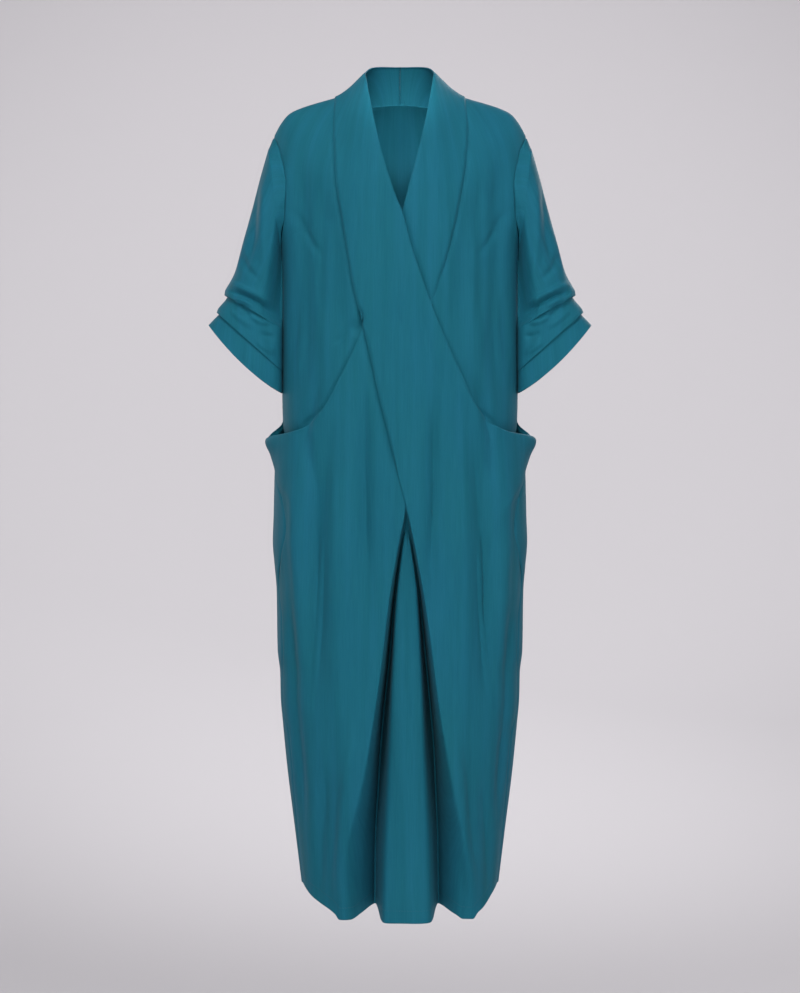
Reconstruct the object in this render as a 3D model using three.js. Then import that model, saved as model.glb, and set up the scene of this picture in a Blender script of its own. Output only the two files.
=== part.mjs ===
// A wrap-front kimono dress, filled out as if worn, with nobody inside.
//
// Frame: millimetres, +Z up, the front of the dress faces -Y, +X is the wearer's left.
// The origin is midway between the two points where the shoulder seams meet the collar,
// because the shoulders are what carry the garment.
//
// Each cut piece is one closed wall of cloth. A wall is a grid of points on its middle surface,
// moved half a thickness to each side. Two surfaces carry every body piece:
//   trunk  the bodice, a tube of rounded sections that closes over the shoulders
//   skirt  the wider tube that hangs from the wrap and holds the pocket mouths open
// Pieces that lie on another one are that surface's points, lifted outwards.
import * as THREE from "three";

// ---- Driving dimensions ----
const WALL = 1.6; // single cloth
const BAND_WALL = 2.0; // the wraps, whose collar is folded double
const UNDER_LIFT = 3.4; // the under wrap above the surface it lies on
const OVER_LIFT = 7.0; // the over wrap, which lies on the under wrap as well
const SEAM_HALF_GAP = 0.25; // half the gap of two edges that are sewn together
const SEAM_TURN = 0.15; // the same round the body, in degrees
const NECK_LIFT = 2.6; // both wraps above the back at the neck, where they do not cross
const SECTION_POWER = 0.88; // below 1 the body sections are fuller than an ellipse
const SHOULDER_ROUND = 130; // how far below the shoulder line the rounding of the shoulder ends
const ARMHOLE_DROP = 195; // from the shoulder line down to the underarm
const SHOULDER_FADE = 330; // below this depth the rows of a panel are level
const POCKET_TIP = -532; // where the mouth stands out furthest
const CROSSING = -643; // where the edges of the two wraps part
const SLIT_END = -1243; // hem height at the foot of the front openings
const SIDE_HEM = -1213; // hem height at the sides
const BACK_HEM = -1236; // hem height at the centre back
const COLLAR_SEAM_X = 100; // half the distance between the two collar seams at the shoulder
const CENTRE_X = 10.5; // the wraps part a little to the wearer's left of the middle

// How far each piece is divided.
const ARM_STEPS = 10; // rows from the shoulder to the underarm, and half the columns of a sleeve
const BODY_ROWS = [195, 240, 285, 330, 380, 430, 465, 499]; // depths of the bodice rows
const POCKET_ROWS = [540, 590, 640, 700, 760];
const SKIRT_STEPS = 15; // rows from the pocket tips and the crossing to the hem
const ROLL_SHARE = 0.2; // share of a wrap's columns that turns back into the front opening

const RAD = Math.PI / 180;

// ---- Tables ----
// Shoulder line and neck slope seen from the front.
const SHOULDER_LINE = [
  { x: 0, z: 50 },
  { x: 30, z: 49 },
  { x: 51, z: 39.5 },
  { x: 63, z: 27 },
  { x: 77, z: 13.2 },
  { x: 96, z: 0.5 },
  { x: 106, z: -2.6 },
  { x: 132, z: -10 },
  { x: 156, z: -18 },
  { x: 171.6, z: -26 },
  { x: 183.5, z: -40 },
  { x: 193, z: -57 },
  { x: 197, z: -65 },
  { x: 205, z: -85 },
];
// Bodice sections by depth below the shoulder line.
const TRUNK = [
  { depth: 0, half: 200, front: 70, back: 84 },
  { depth: 60, half: 200, front: 88, back: 90 },
  { depth: 110, half: 198, front: 103, back: 95 },
  { depth: 150, half: 193, front: 112, back: 97 },
  { depth: 180, half: 188, front: 118, back: 97 },
  { depth: 195, half: 185, front: 120, back: 97 },
  { depth: 240, half: 180, front: 124, back: 96 },
  { depth: 300, half: 177, front: 126, back: 94 },
  { depth: 380, half: 179.5, front: 124, back: 92 },
  { depth: 432, half: 181.5, front: 122, back: 91 },
  { depth: 500, half: 181, front: 119, back: 93 },
  { depth: 540, half: 176, front: 112, back: 95 },
  { depth: 600, half: 173, front: 107, back: 96 },
  { depth: 760, half: 173, front: 106, back: 98 },
];
// Skirt sections by height.
const SKIRT = [
  { z: -300, half: 177, front: 126, back: 94 },
  { z: -400, half: 181, front: 125, back: 92 },
  { z: -465, half: 184, front: 124.5, back: 92 },
  { z: -499, half: 186, front: 124.5, back: 93 },
  { z: -532, half: 189.5, front: 125, back: 95 },
  { z: -575, half: 193.5, front: 126, back: 99 },
  { z: -613, half: 194.5, front: 126.5, back: 102 },
  { z: -650, half: 195.3, front: 127, back: 104 },
  { z: -687, half: 196.5, front: 127, back: 106 },
  { z: -724, half: 193.7, front: 127, back: 107 },
  { z: -761, half: 190.6, front: 127, back: 108 },
  { z: -854, half: 189, front: 127, back: 108 },
  { z: -891, half: 185, front: 127, back: 107 },
  { z: -928, half: 184.2, front: 127, back: 106 },
  { z: -965, half: 181, front: 126.5, back: 105 },
  { z: -1040, half: 173.6, front: 126, back: 103 },
  { z: -1114, half: 164.3, front: 125, back: 100 },
  { z: -1213, half: 152, front: 124, back: 96 },
  { z: -1262, half: 146, front: 124, back: 94 },
];
// The pull of the pocket tips: a sharp bulge at the side of the skirt.
const TIP_PULL = [
  { z: -499, out: 0 },
  { z: -515, out: 7 },
  { z: -532, out: 17 },
  { z: -553, out: 8 },
  { z: -577, out: 0 },
];
const TIP_SPREAD = 15; // degrees round the side that the pull reaches
// Where the skirt's side seam runs, as an angle from the centre front.
const SIDE_SEAM = [
  { z: -532, angle: 90 },
  { z: -575, angle: 84 },
  { z: -607, angle: 72 },
  { z: -640, angle: 63 },
  { z: -675, angle: 61 },
  { z: -705, angle: 67 },
  { z: -750, angle: 77 },
  { z: -800, angle: 72 },
  { z: -840, angle: 71 },
  { z: -900, angle: 78 },
  { z: -933, angle: 80 },
  { z: -965, angle: 73 },
  { z: -1000, angle: 70 },
  { z: -1060, angle: 72 },
  { z: -1140, angle: 76 },
  { z: -1213, angle: 80 },
];
// The front armhole edge.
const ARMHOLE = [
  { depth: 0, x: 195.5 },
  { depth: 20, x: 190.5 },
  { depth: 50, x: 184 },
  { depth: 110, x: 176.5 },
  { depth: 149, x: 177.5 },
  { depth: 180, x: 182 },
  { depth: 195, x: 185 },
];
// Inner edge of the side fronts, hidden under the wraps.
const SIDE_FRONT_EDGE = [
  { depth: 0, x: 93 },
  { depth: 98, x: 88 },
  { depth: 148, x: 82 },
  { depth: 188, x: 74 },
  { depth: 245, x: 60 },
  { depth: 300, x: 46 },
  { depth: 340, x: 40 },
  { depth: 400, x: 40 },
  { depth: 467, x: 46 },
  { depth: 532, x: 56 },
  { depth: 760, x: 62 },
];
// The over wrap, from the shoulder line to where its edge meets the other one. "outer" is the collar
// seam, which becomes the edge of the front opening. "inner" is the neck edge, which becomes the
// pocket mouth and ends in the pocket tip.
const OVER_WRAP = [
  { outerX: -100, outerZ: -1, innerX: -54, innerZ: 38 },
  { outerX: -101, outerZ: -7, innerX: -51, innerZ: 24 },
  { outerX: -102, outerZ: -24, innerX: -48, innerZ: 5 },
  { outerX: -102.5, outerZ: -48, innerX: -41.8, innerZ: -28 },
  { outerX: -101.5, outerZ: -75, innerX: -35.8, innerZ: -60 },
  { outerX: -99, outerZ: -112, innerX: -26, innerZ: -101 },
  { outerX: -95.5, outerZ: -150, innerX: -12.4, innerZ: -146 },
  { outerX: -89, outerZ: -192, innerX: 2.3, innerZ: -184 },
  { outerX: -80, outerZ: -245, innerX: 17, innerZ: -240 },
  { outerX: -71, outerZ: -298, innerX: 33, innerZ: -288 },
  { outerX: -58, outerZ: -352, innerX: 50, innerZ: -336 },
  { outerX: -45, outerZ: -405, innerX: 70, innerZ: -384 },
  { outerX: -31.6, outerZ: -467, innerX: 91, innerZ: -430 },
  { outerX: -17, outerZ: -526, innerX: 115, innerZ: -482 },
  { outerX: -2.3, outerZ: -590, innerX: 155, innerZ: -516 },
];
// The under wrap, the same from the other shoulder. The over wrap hides its middle.
const UNDER_WRAP = [
  { outerX: 100, outerZ: -1, innerX: 51.5, innerZ: 38 },
  { outerX: 101, outerZ: -7, innerX: 49.5, innerZ: 24 },
  { outerX: 102.5, outerZ: -24, innerX: 47, innerZ: 5 },
  { outerX: 104, outerZ: -48, innerX: 41.5, innerZ: -28 },
  { outerX: 103, outerZ: -75, innerX: 35, innerZ: -60 },
  { outerX: 99.5, outerZ: -112, innerX: 25.5, innerZ: -101 },
  { outerX: 94, outerZ: -150, innerX: 14, innerZ: -146 },
  { outerX: 86.5, outerZ: -192, innerX: 3.5, innerZ: -184 },
  { outerX: 73, outerZ: -245, innerX: -13, innerZ: -235 },
  { outerX: 57, outerZ: -298, innerX: -31, innerZ: -285 },
  { outerX: 43, outerZ: -350, innerX: -47, innerZ: -334 },
  { outerX: 33, outerZ: -405, innerX: -66, innerZ: -387 },
  { outerX: 26, outerZ: -467, innerX: -90, innerZ: -436 },
  { outerX: 19, outerZ: -526, innerX: -116, innerZ: -484 },
  { outerX: 13, outerZ: -590, innerX: -155, innerZ: -516 },
];
// The front opening: where each wrap's edge ends, how wide it rolls back and how deep.
const OPENING = [
  { z: -590, over: 1, under: 14, roll: 3, deep: 0 },
  { z: -643, over: 10, under: 9, roll: 3, deep: 5 },
  { z: -700, over: 20.5, under: -0.5, roll: 4, deep: 32 },
  { z: -770, over: 30, under: -9, roll: 7.5, deep: 58 },
  { z: -882, over: 42, under: -19, roll: 11, deep: 74 },
  { z: -936, over: 47, under: -25, roll: 13, deep: 77 },
  { z: -1004, over: 53, under: -31, roll: 18, deep: 77 },
  { z: -1072, over: 56, under: -35, roll: 28, deep: 76 },
  { z: -1145, over: 59, under: -39, roll: 42, deep: 73 },
  { z: -1262, over: 60, under: -40, roll: 54, deep: 68 },
];
// Hem height of the front by distance from the centre, the same on both sides.
const FRONT_HEM = [
  { x: -149, z: -1213 },
  { x: -130, z: -1232 },
  { x: -107, z: -1246 },
  { x: -99, z: -1252 },
  { x: -92, z: -1260 },
  { x: -74, z: -1260 },
  { x: -60, z: -1253 },
  { x: -38, z: -1243 },
  { x: 60, z: -1243 },
  { x: 79, z: -1253 },
  { x: 93, z: -1260 },
  { x: 111, z: -1260 },
  { x: 117, z: -1251 },
  { x: 125, z: -1244 },
  { x: 134, z: -1232 },
  { x: 149, z: -1213 },
];
// The centre panel: the box fold that stands in the front opening. "inset" is how far its ridge lies
// behind the skirt's front and "drop" how much lower the ridge hangs than the foot.
const CENTRE_PANEL = [
  { z: -575, half: 5, inset: 4, drop: 0 },
  { z: -643, half: 7, inset: 7, drop: 0 },
  { z: -700, half: 11, inset: 12, drop: 0 },
  { z: -774, half: 16.5, inset: 13, drop: 0 },
  { z: -850, half: 21, inset: 12, drop: 0 },
  { z: -936, half: 25, inset: 10, drop: 0 },
  { z: -1004, half: 27, inset: 8, drop: 0 },
  { z: -1075, half: 30, inset: 5, drop: 5 },
  { z: -1145, half: 33, inset: 1, drop: 11 },
  { z: -1243, half: 36.5, inset: -7, drop: 20 },
];
// Half a section across the centre panel. "across" is the place on the box fold in halves of its width,
// "wall" the share of the way from there to the wrap's edge, and "height" the share of the fold's height.
const BOX_FOLD = [
  { along: 0, across: 0, wall: 0, height: 1 },
  { along: 0.25, across: 0.6, wall: 0, height: 0.985 },
  { along: 0.38, across: 0.88, wall: 0, height: 0.92 },
  { along: 0.5, across: 1, wall: 0.04, height: 0.74 },
  { along: 0.68, across: 1, wall: 0.5, height: 0.36 },
  { along: 0.86, across: 1, wall: 1, height: 0 },
  { along: 1, across: 1, wall: 1, height: 0 },
];
// Soft folds. angle and drift place the fold at its top and bottom, in degrees from the centre front.
const BODICE_FOLDS = [
  { angle: 47, drift: 8, top: -60, bottom: -500, width: 9, out: -6 },
  { angle: 32, drift: -3, top: -130, bottom: -420, width: 7.5, out: -4 },
];
const SKIRT_FOLDS = [
  { angle: 31, drift: 14, top: -480, bottom: -980, width: 6, out: -8 },
  { angle: 13, drift: 1, top: -480, bottom: -860, width: 4.5, out: -5 },
  { angle: 52, drift: -2, top: -560, bottom: -900, width: 6, out: 4 },
  { angle: 57, drift: 4, top: -760, bottom: -1150, width: 6, out: -5 },
  { angle: 22, drift: 9, top: -900, bottom: -1400, width: 6, out: 5 },
];
const BACK_FOLDS = [
  { angle: 14, drift: 3, top: -170, bottom: -1500, width: 7, out: -8 },
  { angle: -9, drift: -4, top: -420, bottom: -1500, width: 7, out: -7 },
  { angle: 38, drift: -3, top: -110, bottom: -900, width: 8, out: -7 },
  { angle: -34, drift: 2, top: -140, bottom: -1500, width: 8, out: -8 },
  { angle: 60, drift: -6, top: -480, bottom: -1300, width: 8, out: -6 },
  { angle: -60, drift: 8, top: -480, bottom: -1200, width: 8, out: -7 },
];
// The sleeve, ring by ring: its outer and inner edge seen from the front, and half its depth.
const SLEEVE = [
  { outX: 203, outZ: -80, inX: 188.5, inZ: -256, depth: 50, sag: 0 },
  { outX: 214, outZ: -118, inX: 188.5, inZ: -280, depth: 52, sag: 0 },
  { outX: 228, outZ: -172, inX: 187.5, inZ: -304, depth: 53, sag: 0 },
  { outX: 243, outZ: -226, inX: 187, inZ: -324, depth: 53, sag: 0 },
  { outX: 256, outZ: -273, inX: 187, inZ: -341, depth: 52, sag: 0 },
  { outX: 270.5, outZ: -300, inX: 187, inZ: -354, depth: 51, sag: 0 },
  { outX: 271.5, outZ: -306, inX: 187, inZ: -359, depth: 51, sag: 0 },
  { outX: 264.5, outZ: -305, inX: 187, inZ: -364, depth: 49.5, sag: 0 },
  { outX: 269, outZ: -313, inX: 187, inZ: -378, depth: 49.5, sag: 0 },
  { outX: 281.5, outZ: -328, inX: 187, inZ: -419, depth: 50, sag: 0 },
  { outX: 283.5, outZ: -333.5, inX: 187, inZ: -425, depth: 50, sag: 0 },
];
// The cuff, whose hem hangs lower at the front and back than at its two ends.
const CUFF = [
  { outX: 274, outZ: -331, inX: 189.3, inZ: -415, depth: 47.6, sag: 0 },
  { outX: 281, outZ: -338, inX: 189.3, inZ: -431, depth: 47.6, sag: 3 },
  { outX: 289, outZ: -346, inX: 189, inZ: -446, depth: 47.8, sag: 7 },
  { outX: 296, outZ: -353.5, inX: 188.5, inZ: -459, depth: 48, sag: 11 },
];

// ---- Small helpers ----
const clamp = (v, low, high) => Math.min(high, Math.max(low, v));
const mix = (a, b, share) => a + (b - a) * share;
const smooth = (v) => {
  const s = clamp(v, 0, 1);
  return s * s * (3 - 2 * s);
};
const power = (v) => Math.sign(v) * Math.abs(v) ** SECTION_POWER;
const rootPower = (v) => Math.sign(v) * Math.abs(v) ** (1 / SECTION_POWER);

// A column of a table as a smooth curve that never overshoots between two rows.
function curve(table, key, column) {
  const rows = [...table].sort((a, b) => a[key] - b[key]);
  const at = rows.map((row) => row[key]);
  const value = rows.map((row) => row[column]);
  const step = at.slice(1).map((v, i) => v - at[i]);
  const slope = step.map((h, i) => (value[i + 1] - value[i]) / h);
  const tangent = at.map((_, i) => {
    if (i === 0) return slope[0];
    if (i === at.length - 1) return slope[i - 1];
    if (slope[i - 1] * slope[i] <= 0) return 0;
    const before = 2 * step[i] + step[i - 1];
    const after = step[i] + 2 * step[i - 1];
    return (before + after) / (before / slope[i - 1] + after / slope[i]);
  });
  return (v) => {
    const p = clamp(v, at[0], at.at(-1));
    let i = 0;
    while (i < step.length - 1 && p > at[i + 1]) i += 1;
    const s = (p - at[i]) / step[i];
    return (
      value[i] * (1 + 2 * s) * (1 - s) ** 2 +
      step[i] * tangent[i] * s * (1 - s) ** 2 +
      value[i + 1] * s * s * (3 - 2 * s) +
      step[i] * tangent[i + 1] * s * s * (s - 1)
    );
  };
}

// A column of a table joined by straight lines, for a form with a sharp corner.
function ramp(table, key, column) {
  const rows = [...table].sort((a, b) => a[key] - b[key]);
  return (v) => {
    const p = clamp(v, rows[0][key], rows.at(-1)[key]);
    const i = Math.max(1, rows.findIndex((row) => row[key] >= p));
    const share = (p - rows[i - 1][key]) / (rows[i][key] - rows[i - 1][key]);
    return mix(rows[i - 1][column], rows[i][column], share);
  };
}

const shoulderLine = curve(SHOULDER_LINE, "x", "z");
const trunkHalf = curve(TRUNK, "depth", "half");
const trunkFront = curve(TRUNK, "depth", "front");
const trunkBack = curve(TRUNK, "depth", "back");
const skirtHalf = curve(SKIRT, "z", "half");
const skirtFront = curve(SKIRT, "z", "front");
const skirtBack = curve(SKIRT, "z", "back");
const tipPull = ramp(TIP_PULL, "z", "out");
const seamAngle = curve(SIDE_SEAM, "z", "angle");
const armholeX = curve(ARMHOLE, "depth", "x");
const sideFrontX = curve(SIDE_FRONT_EDGE, "depth", "x");
const openingOver = curve(OPENING, "z", "over");
const openingUnder = curve(OPENING, "z", "under");
const openingRoll = curve(OPENING, "z", "roll");
const openingDeep = curve(OPENING, "z", "deep");
const panelHalf = curve(CENTRE_PANEL, "z", "half");
const panelInset = curve(CENTRE_PANEL, "z", "inset");
const panelDrop = curve(CENTRE_PANEL, "z", "drop");
const frontHem = curve(FRONT_HEM, "x", "z");

// ---- The two surfaces ----
// How much of the shoulder line's slope is left at a depth.
const shoulderShare = (depth) =>
  1 - smooth((depth - ARMHOLE_DROP) / (SHOULDER_FADE - ARMHOLE_DROP));

// The back's shoulder line runs level across the neck, a little raised in the middle.
const BACK_NECK_RISE = 27;
function ridge(x, isBack) {
  const across = Math.abs(x);
  if (!isBack || across >= COLLAR_SEAM_X) return shoulderLine(across);
  const rise = Math.cos((across / COLLAR_SEAM_X) * 90 * RAD) ** 2;
  return shoulderLine(COLLAR_SEAM_X) + (BACK_NECK_RISE + 1) * rise;
}

// The shoulder's rounding: 0 on the shoulder line and 1 from SHOULDER_ROUND down.
const rounding = (depth) =>
  Math.sqrt(1 - (1 - clamp(depth / SHOULDER_ROUND, 0, 1)) ** 2);

// Sum of the soft folds at an angle, in degrees, and a height.
function foldsAt(folds, angle, z) {
  return folds.reduce((sum, fold) => {
    const down = clamp((z - fold.top) / (fold.bottom - fold.top), 0, 1);
    const inside = z < fold.top && z > fold.bottom;
    if (!inside) return sum;
    const away = (angle - fold.angle - fold.drift * down) / fold.width;
    const length = smooth(down * 4) * smooth((1 - down) * 3);
    return sum + fold.out * length * Math.exp(-away * away);
  }, 0);
}

// angle runs from 0 at the centre front to 180 at the centre back, negative on the wearer's right.
function section(angle, half, front, back) {
  const s = Math.sin(angle * RAD);
  const c = Math.cos(angle * RAD);
  return { x: half * power(s), y: -power(c) * (c > 0 ? front : back) };
}

const outwards = (angle) =>
  new THREE.Vector3(Math.sin(angle * RAD), -Math.cos(angle * RAD), 0);

// Folds of the front are counted from the centre front, those of the back from the centre back.
function bodiceFold(angle, z) {
  const side = Math.abs(angle);
  if (side <= 90) return foldsAt(BODICE_FOLDS, side, z);
  return foldsAt(BACK_FOLDS, Math.sign(angle) * (180 - side), z);
}
function skirtFold(angle, z) {
  const side = Math.abs(angle);
  if (side > 90) return foldsAt(BACK_FOLDS, Math.sign(angle) * (180 - side), z);
  return foldsAt(SKIRT_FOLDS, side, z);
}

function trunk(angle, depth) {
  const isBack = Math.abs(angle) > 90;
  const flat = section(angle, trunkHalf(depth), trunkFront(depth), trunkBack(depth));
  const z = ridge(flat.x, isBack) * shoulderShare(depth) - depth;
  const point = new THREE.Vector3(flat.x, flat.y * rounding(depth), z);
  const calm = smooth((depth - 20) / 100);
  return point.addScaledVector(outwards(angle), bodiceFold(angle, z) * calm);
}

function skirt(angle, z) {
  const flat = section(angle, skirtHalf(z), skirtFront(z), skirtBack(z));
  const away = (Math.abs(angle) - 90) / TIP_SPREAD;
  const pull = tipPull(z) * Math.exp(-away * away);
  const point = new THREE.Vector3(flat.x, flat.y, z);
  return point.addScaledVector(outwards(angle), pull + skirtFold(angle, z));
}

// Depth below the shoulder line of a point at a height on the trunk.
function depthAt(angle, z) {
  let depth = Math.max(0, -z);
  for (let i = 0; i < 6; i += 1) {
    const x = trunkHalf(depth) * power(Math.sin(angle * RAD));
    depth = Math.max(0, ridge(x, Math.abs(angle) > 90) * shoulderShare(depth) - z);
  }
  return depth;
}

// The angle of a point of the front at x and a height.
function angleAt(x, z) {
  if (z < -SHOULDER_FADE) {
    return Math.asin(clamp(rootPower(x / skirtHalf(z)), -1, 1)) / RAD;
  }
  const depth = Math.max(0, shoulderLine(Math.abs(x)) * shoulderShare(-z) - z);
  return Math.asin(clamp(rootPower(x / trunkHalf(depth)), -1, 1)) / RAD;
}

// The wraps lie on the bodice above and become the skirt below.
const WRAP_LEAVES = { top: -330, bottom: -430 };
function wrapSurface(angle, z) {
  const share = smooth((WRAP_LEAVES.top - z) / (WRAP_LEAVES.top - WRAP_LEAVES.bottom));
  if (share === 0) return trunk(angle, depthAt(angle, z));
  if (share === 1) return skirt(angle, z);
  return trunk(angle, depthAt(angle, z)).lerp(skirt(angle, z), share);
}

// The outward direction of a surface given by angle and height, from its points close by.
function normalOf(surface, angle, z) {
  const along = surface(angle + 0.5, z).sub(surface(angle - 0.5, z));
  const up = surface(angle, z + 3).sub(surface(angle, z - 3));
  return along.cross(up).normalize();
}

// ---- Walls ----
// Turns a grid of middle points, rows of equal length, into a closed wall. A tube's rows close up.
function wallOf(rows, thickness, isTube = false) {
  const height = rows.length;
  const width = rows[0].length;
  const wrap = (j) => (isTube ? (j + width) % width : clamp(j, 0, width - 1));
  const faces = [];
  const normals = rows.map((row, i) =>
    row.map((_, j) => {
      const across = rows[i][wrap(j + 1)].clone().sub(rows[i][wrap(j - 1)]);
      const above = rows[Math.max(i - 1, 0)][j];
      const below = rows[Math.min(i + 1, height - 1)][j];
      return below.clone().sub(above).cross(across).normalize();
    }),
  );
  const positions = [];
  for (const side of [0.5, -0.5]) {
    rows.forEach((row, i) =>
      row.forEach((point, j) => {
        const moved = point.clone().addScaledVector(normals[i][j], side * thickness);
        positions.push(moved.x, moved.y, moved.z);
      }),
    );
  }
  const outer = (i, j) => i * width + wrap(j);
  const inner = (i, j) => width * height + i * width + wrap(j);
  const quad = (a, b, c, d) => faces.push(a, b, c, a, c, d);
  const columns = isTube ? width : width - 1;
  for (let i = 0; i < height - 1; i += 1) {
    for (let j = 0; j < columns; j += 1) {
      quad(outer(i, j), outer(i + 1, j), outer(i + 1, j + 1), outer(i, j + 1));
      // The inner side is split along the same diagonal, so that the wall stays even.
      faces.push(inner(i, j), inner(i + 1, j + 1), inner(i + 1, j));
      faces.push(inner(i, j), inner(i, j + 1), inner(i + 1, j + 1));
    }
  }
  for (let j = 0; j < columns; j += 1) {
    quad(outer(0, j), outer(0, j + 1), inner(0, j + 1), inner(0, j));
    quad(outer(height - 1, j + 1), outer(height - 1, j), inner(height - 1, j), inner(height - 1, j + 1));
  }
  if (!isTube) {
    for (let i = 0; i < height - 1; i += 1) {
      quad(outer(i + 1, 0), outer(i, 0), inner(i, 0), inner(i + 1, 0));
      quad(outer(i, width - 1), outer(i + 1, width - 1), inner(i + 1, width - 1), inner(i, width - 1));
    }
  }
  const geometry = new THREE.BufferGeometry();
  geometry.setAttribute("position", new THREE.Float32BufferAttribute(positions, 3));
  geometry.setIndex(facingOut(positions, faces));
  return geometry;
}

// Turns every face round if together they face inwards.
function facingOut(positions, faces) {
  const a = new THREE.Vector3();
  const b = new THREE.Vector3();
  const c = new THREE.Vector3();
  let volume = 0;
  for (let i = 0; i < faces.length; i += 3) {
    a.fromArray(positions, faces[i] * 3);
    b.fromArray(positions, faces[i + 1] * 3);
    c.fromArray(positions, faces[i + 2] * 3);
    volume += a.dot(b.cross(c));
  }
  if (volume > 0) return faces;
  return faces.map((_, i) => faces[i - (i % 3) + [0, 2, 1][i % 3]]);
}

const spread = (count, from, to) =>
  Array.from({ length: count + 1 }, (_, i) => mix(from, to, i / count));

// ---- Bodice rows shared by the fronts, the back and the sleeves ----
const armDepths = spread(ARM_STEPS, 0, 180).map(
  (turn) => (ARMHOLE_DROP * (1 - Math.cos(turn * RAD))) / 2,
);
const bodiceDepths = [...armDepths, ...BODY_ROWS.slice(1)];

// The angle of the armhole's edge, or of the side seam below it.
function edgeAngle(depth) {
  if (depth >= ARMHOLE_DROP) return 90;
  return Math.asin(clamp(rootPower(armholeX(depth) / trunkHalf(depth)), 0, 1)) / RAD;
}

// A point on the shoulder line keeps half a seam gap to the panel behind or before it.
function partedAtShoulder(point, depth, direction) {
  const gap = SEAM_HALF_GAP * direction;
  if (depth === 0) point.y = gap;
  else if (Math.abs(point.y) < SEAM_HALF_GAP) point.y = gap;
  return point;
}

// ---- Side fronts, whose lower ends are the backs of the pockets ----
const SIDE_COLUMNS = 14;
const POCKET_CLEARANCE = 3.2; // the pocket's back inside the skirt at its bottom
const POCKET_HOLLOW = 9; // how far the pocket's back falls in at the side
function sideFront(side) {
  const depths = [...bodiceDepths, ...POCKET_ROWS];
  return depths.map((depth) => {
    const half = trunkHalf(depth);
    const first = Math.asin(rootPower(sideFrontX(depth) / half)) / RAD;
    const last = edgeAngle(depth) - (depth >= ARMHOLE_DROP ? SEAM_TURN : 0);
    return spread(SIDE_COLUMNS, first, last).map((angle) => {
      const point = trunk(side * angle, depth);
      const fallsIn = smooth((depth - 515) / 45) * (1 - smooth((depth - 670) / 70));
      const nearSide = Math.exp(-(((90 - angle) / 16) ** 2));
      point.addScaledVector(outwards(side * angle), -POCKET_HOLLOW * fallsIn * nearSide);
      const lower = smooth((depth - 640) / 110);
      if (lower > 0) {
        const out = normalOf(skirt, side * angle, -depth);
        const inside = skirt(side * angle, -depth).addScaledVector(out, -POCKET_CLEARANCE);
        point.lerp(inside, lower);
      }
      return partedAtShoulder(point, depth, -1);
    });
  });
}

// ---- Back ----
const BACK_COLUMNS = { neck: 5, shoulder: 9 };
const NECK_TURN = 41; // degrees down the shoulder's rounding that the back neckline sits
// Columns as shares of the way from the centre back to the side, one of them on the collar seam.
const collarShare =
  Math.asin(rootPower(COLLAR_SEAM_X / trunkHalf(0))) / RAD / edgeAngle(0);
const backShares = [
  ...spread(BACK_COLUMNS.neck, 0, collarShare),
  ...spread(BACK_COLUMNS.shoulder, collarShare, 1).slice(1),
];
const bothSides = (shares) => [...shares.slice(1).reverse().map((v) => -v), ...shares];

// Depth of the back neckline below the virtual shoulder line at a distance from the centre.
function necklineDepth(x) {
  const across = clamp(Math.abs(x) / COLLAR_SEAM_X, 0, 1);
  const turn = NECK_TURN * (1 - across * across) ** 0.6 * RAD;
  return SHOULDER_ROUND * (1 - Math.cos(turn));
}

// Rows above the pocket. The top rows start at the neckline, so they are squeezed under it.
function backTrunkRow(depth) {
  return bothSides(backShares).map((share) => {
    const fromCentre = Math.abs(share) * (edgeAngle(depth) - (depth >= ARMHOLE_DROP ? SEAM_TURN : 0));
    const angle = (share < 0 ? -1 : 1) * (180 - fromCentre);
    const start = necklineDepth(trunkHalf(0) * power(Math.sin(fromCentre * RAD)));
    const squeezed = start + (depth * (ARMHOLE_DROP - start)) / ARMHOLE_DROP;
    const used = depth < ARMHOLE_DROP ? squeezed : depth;
    return partedAtShoulder(trunk(angle, used), used, 1);
  });
}

// Rows of the skirt's back, out to the side seams.
function backSkirtRow(z, seam) {
  const drop = ((BACK_HEM - SIDE_HEM) * smooth((-z - 900) / 313));
  return bothSides(backShares).map((share) => {
    const fromCentre = Math.abs(share) * (180 - seam - SEAM_TURN);
    const angle = (share < 0 ? -1 : 1) * (180 - fromCentre);
    const middle = Math.cos(Math.min(fromCentre, 90) * RAD);
    return skirt(angle, z + drop * middle);
  });
}

const tipHeights = spread(SKIRT_STEPS, POCKET_TIP, SIDE_HEM);
const openingHeights = spread(SKIRT_STEPS, CROSSING, SLIT_END);
function back() {
  const upper = bodiceDepths.map(backTrunkRow);
  const mouth = backSkirtRow(-515, 90);
  const lower = tipHeights.map((z) => backSkirtRow(z, seamAngle(z)));
  return [...upper, mouth, ...lower];
}

// ---- Wraps ----
const WRAP_COLUMNS = 14;
const STAND_STEPS = 5; // rows of the collar from the shoulder line to the centre back
const STAND = { side: 38, back: 54, halfWidth: 52.5, depth: 50, lap: 8 };

// The collar behind the shoulders: from the neckline of the back up to the edge round the neck.
function standRow(turn, side) {
  const s = Math.sin(turn * RAD);
  const c = Math.cos(turn * RAD);
  const seamX = COLLAR_SEAM_X * c;
  const fromCentre = Math.asin(clamp(rootPower(seamX / trunkHalf(0)), 0, 1)) / RAD;
  const angle = side * (180 - fromCentre);
  const depth = necklineDepth(seamX) + (STAND.lap * s * s) / 1.2;
  const foot = trunk(angle, Math.max(depth, 0.5));
  const out = new THREE.Vector3(0, 0.7 * s, 1).normalize();
  foot.addScaledVector(out, NECK_LIFT);
  foot.x = side * Math.max(Math.abs(foot.x), SEAM_HALF_GAP);
  if (turn === 0) foot.y = 0;
  const edge = new THREE.Vector3(
    side * Math.max(STAND.halfWidth * c, SEAM_HALF_GAP),
    STAND.depth * s,
    mix(STAND.side, STAND.back, 1 - (1 - s) ** 1.8),
  );
  return { foot, edge, out };
}

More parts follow.
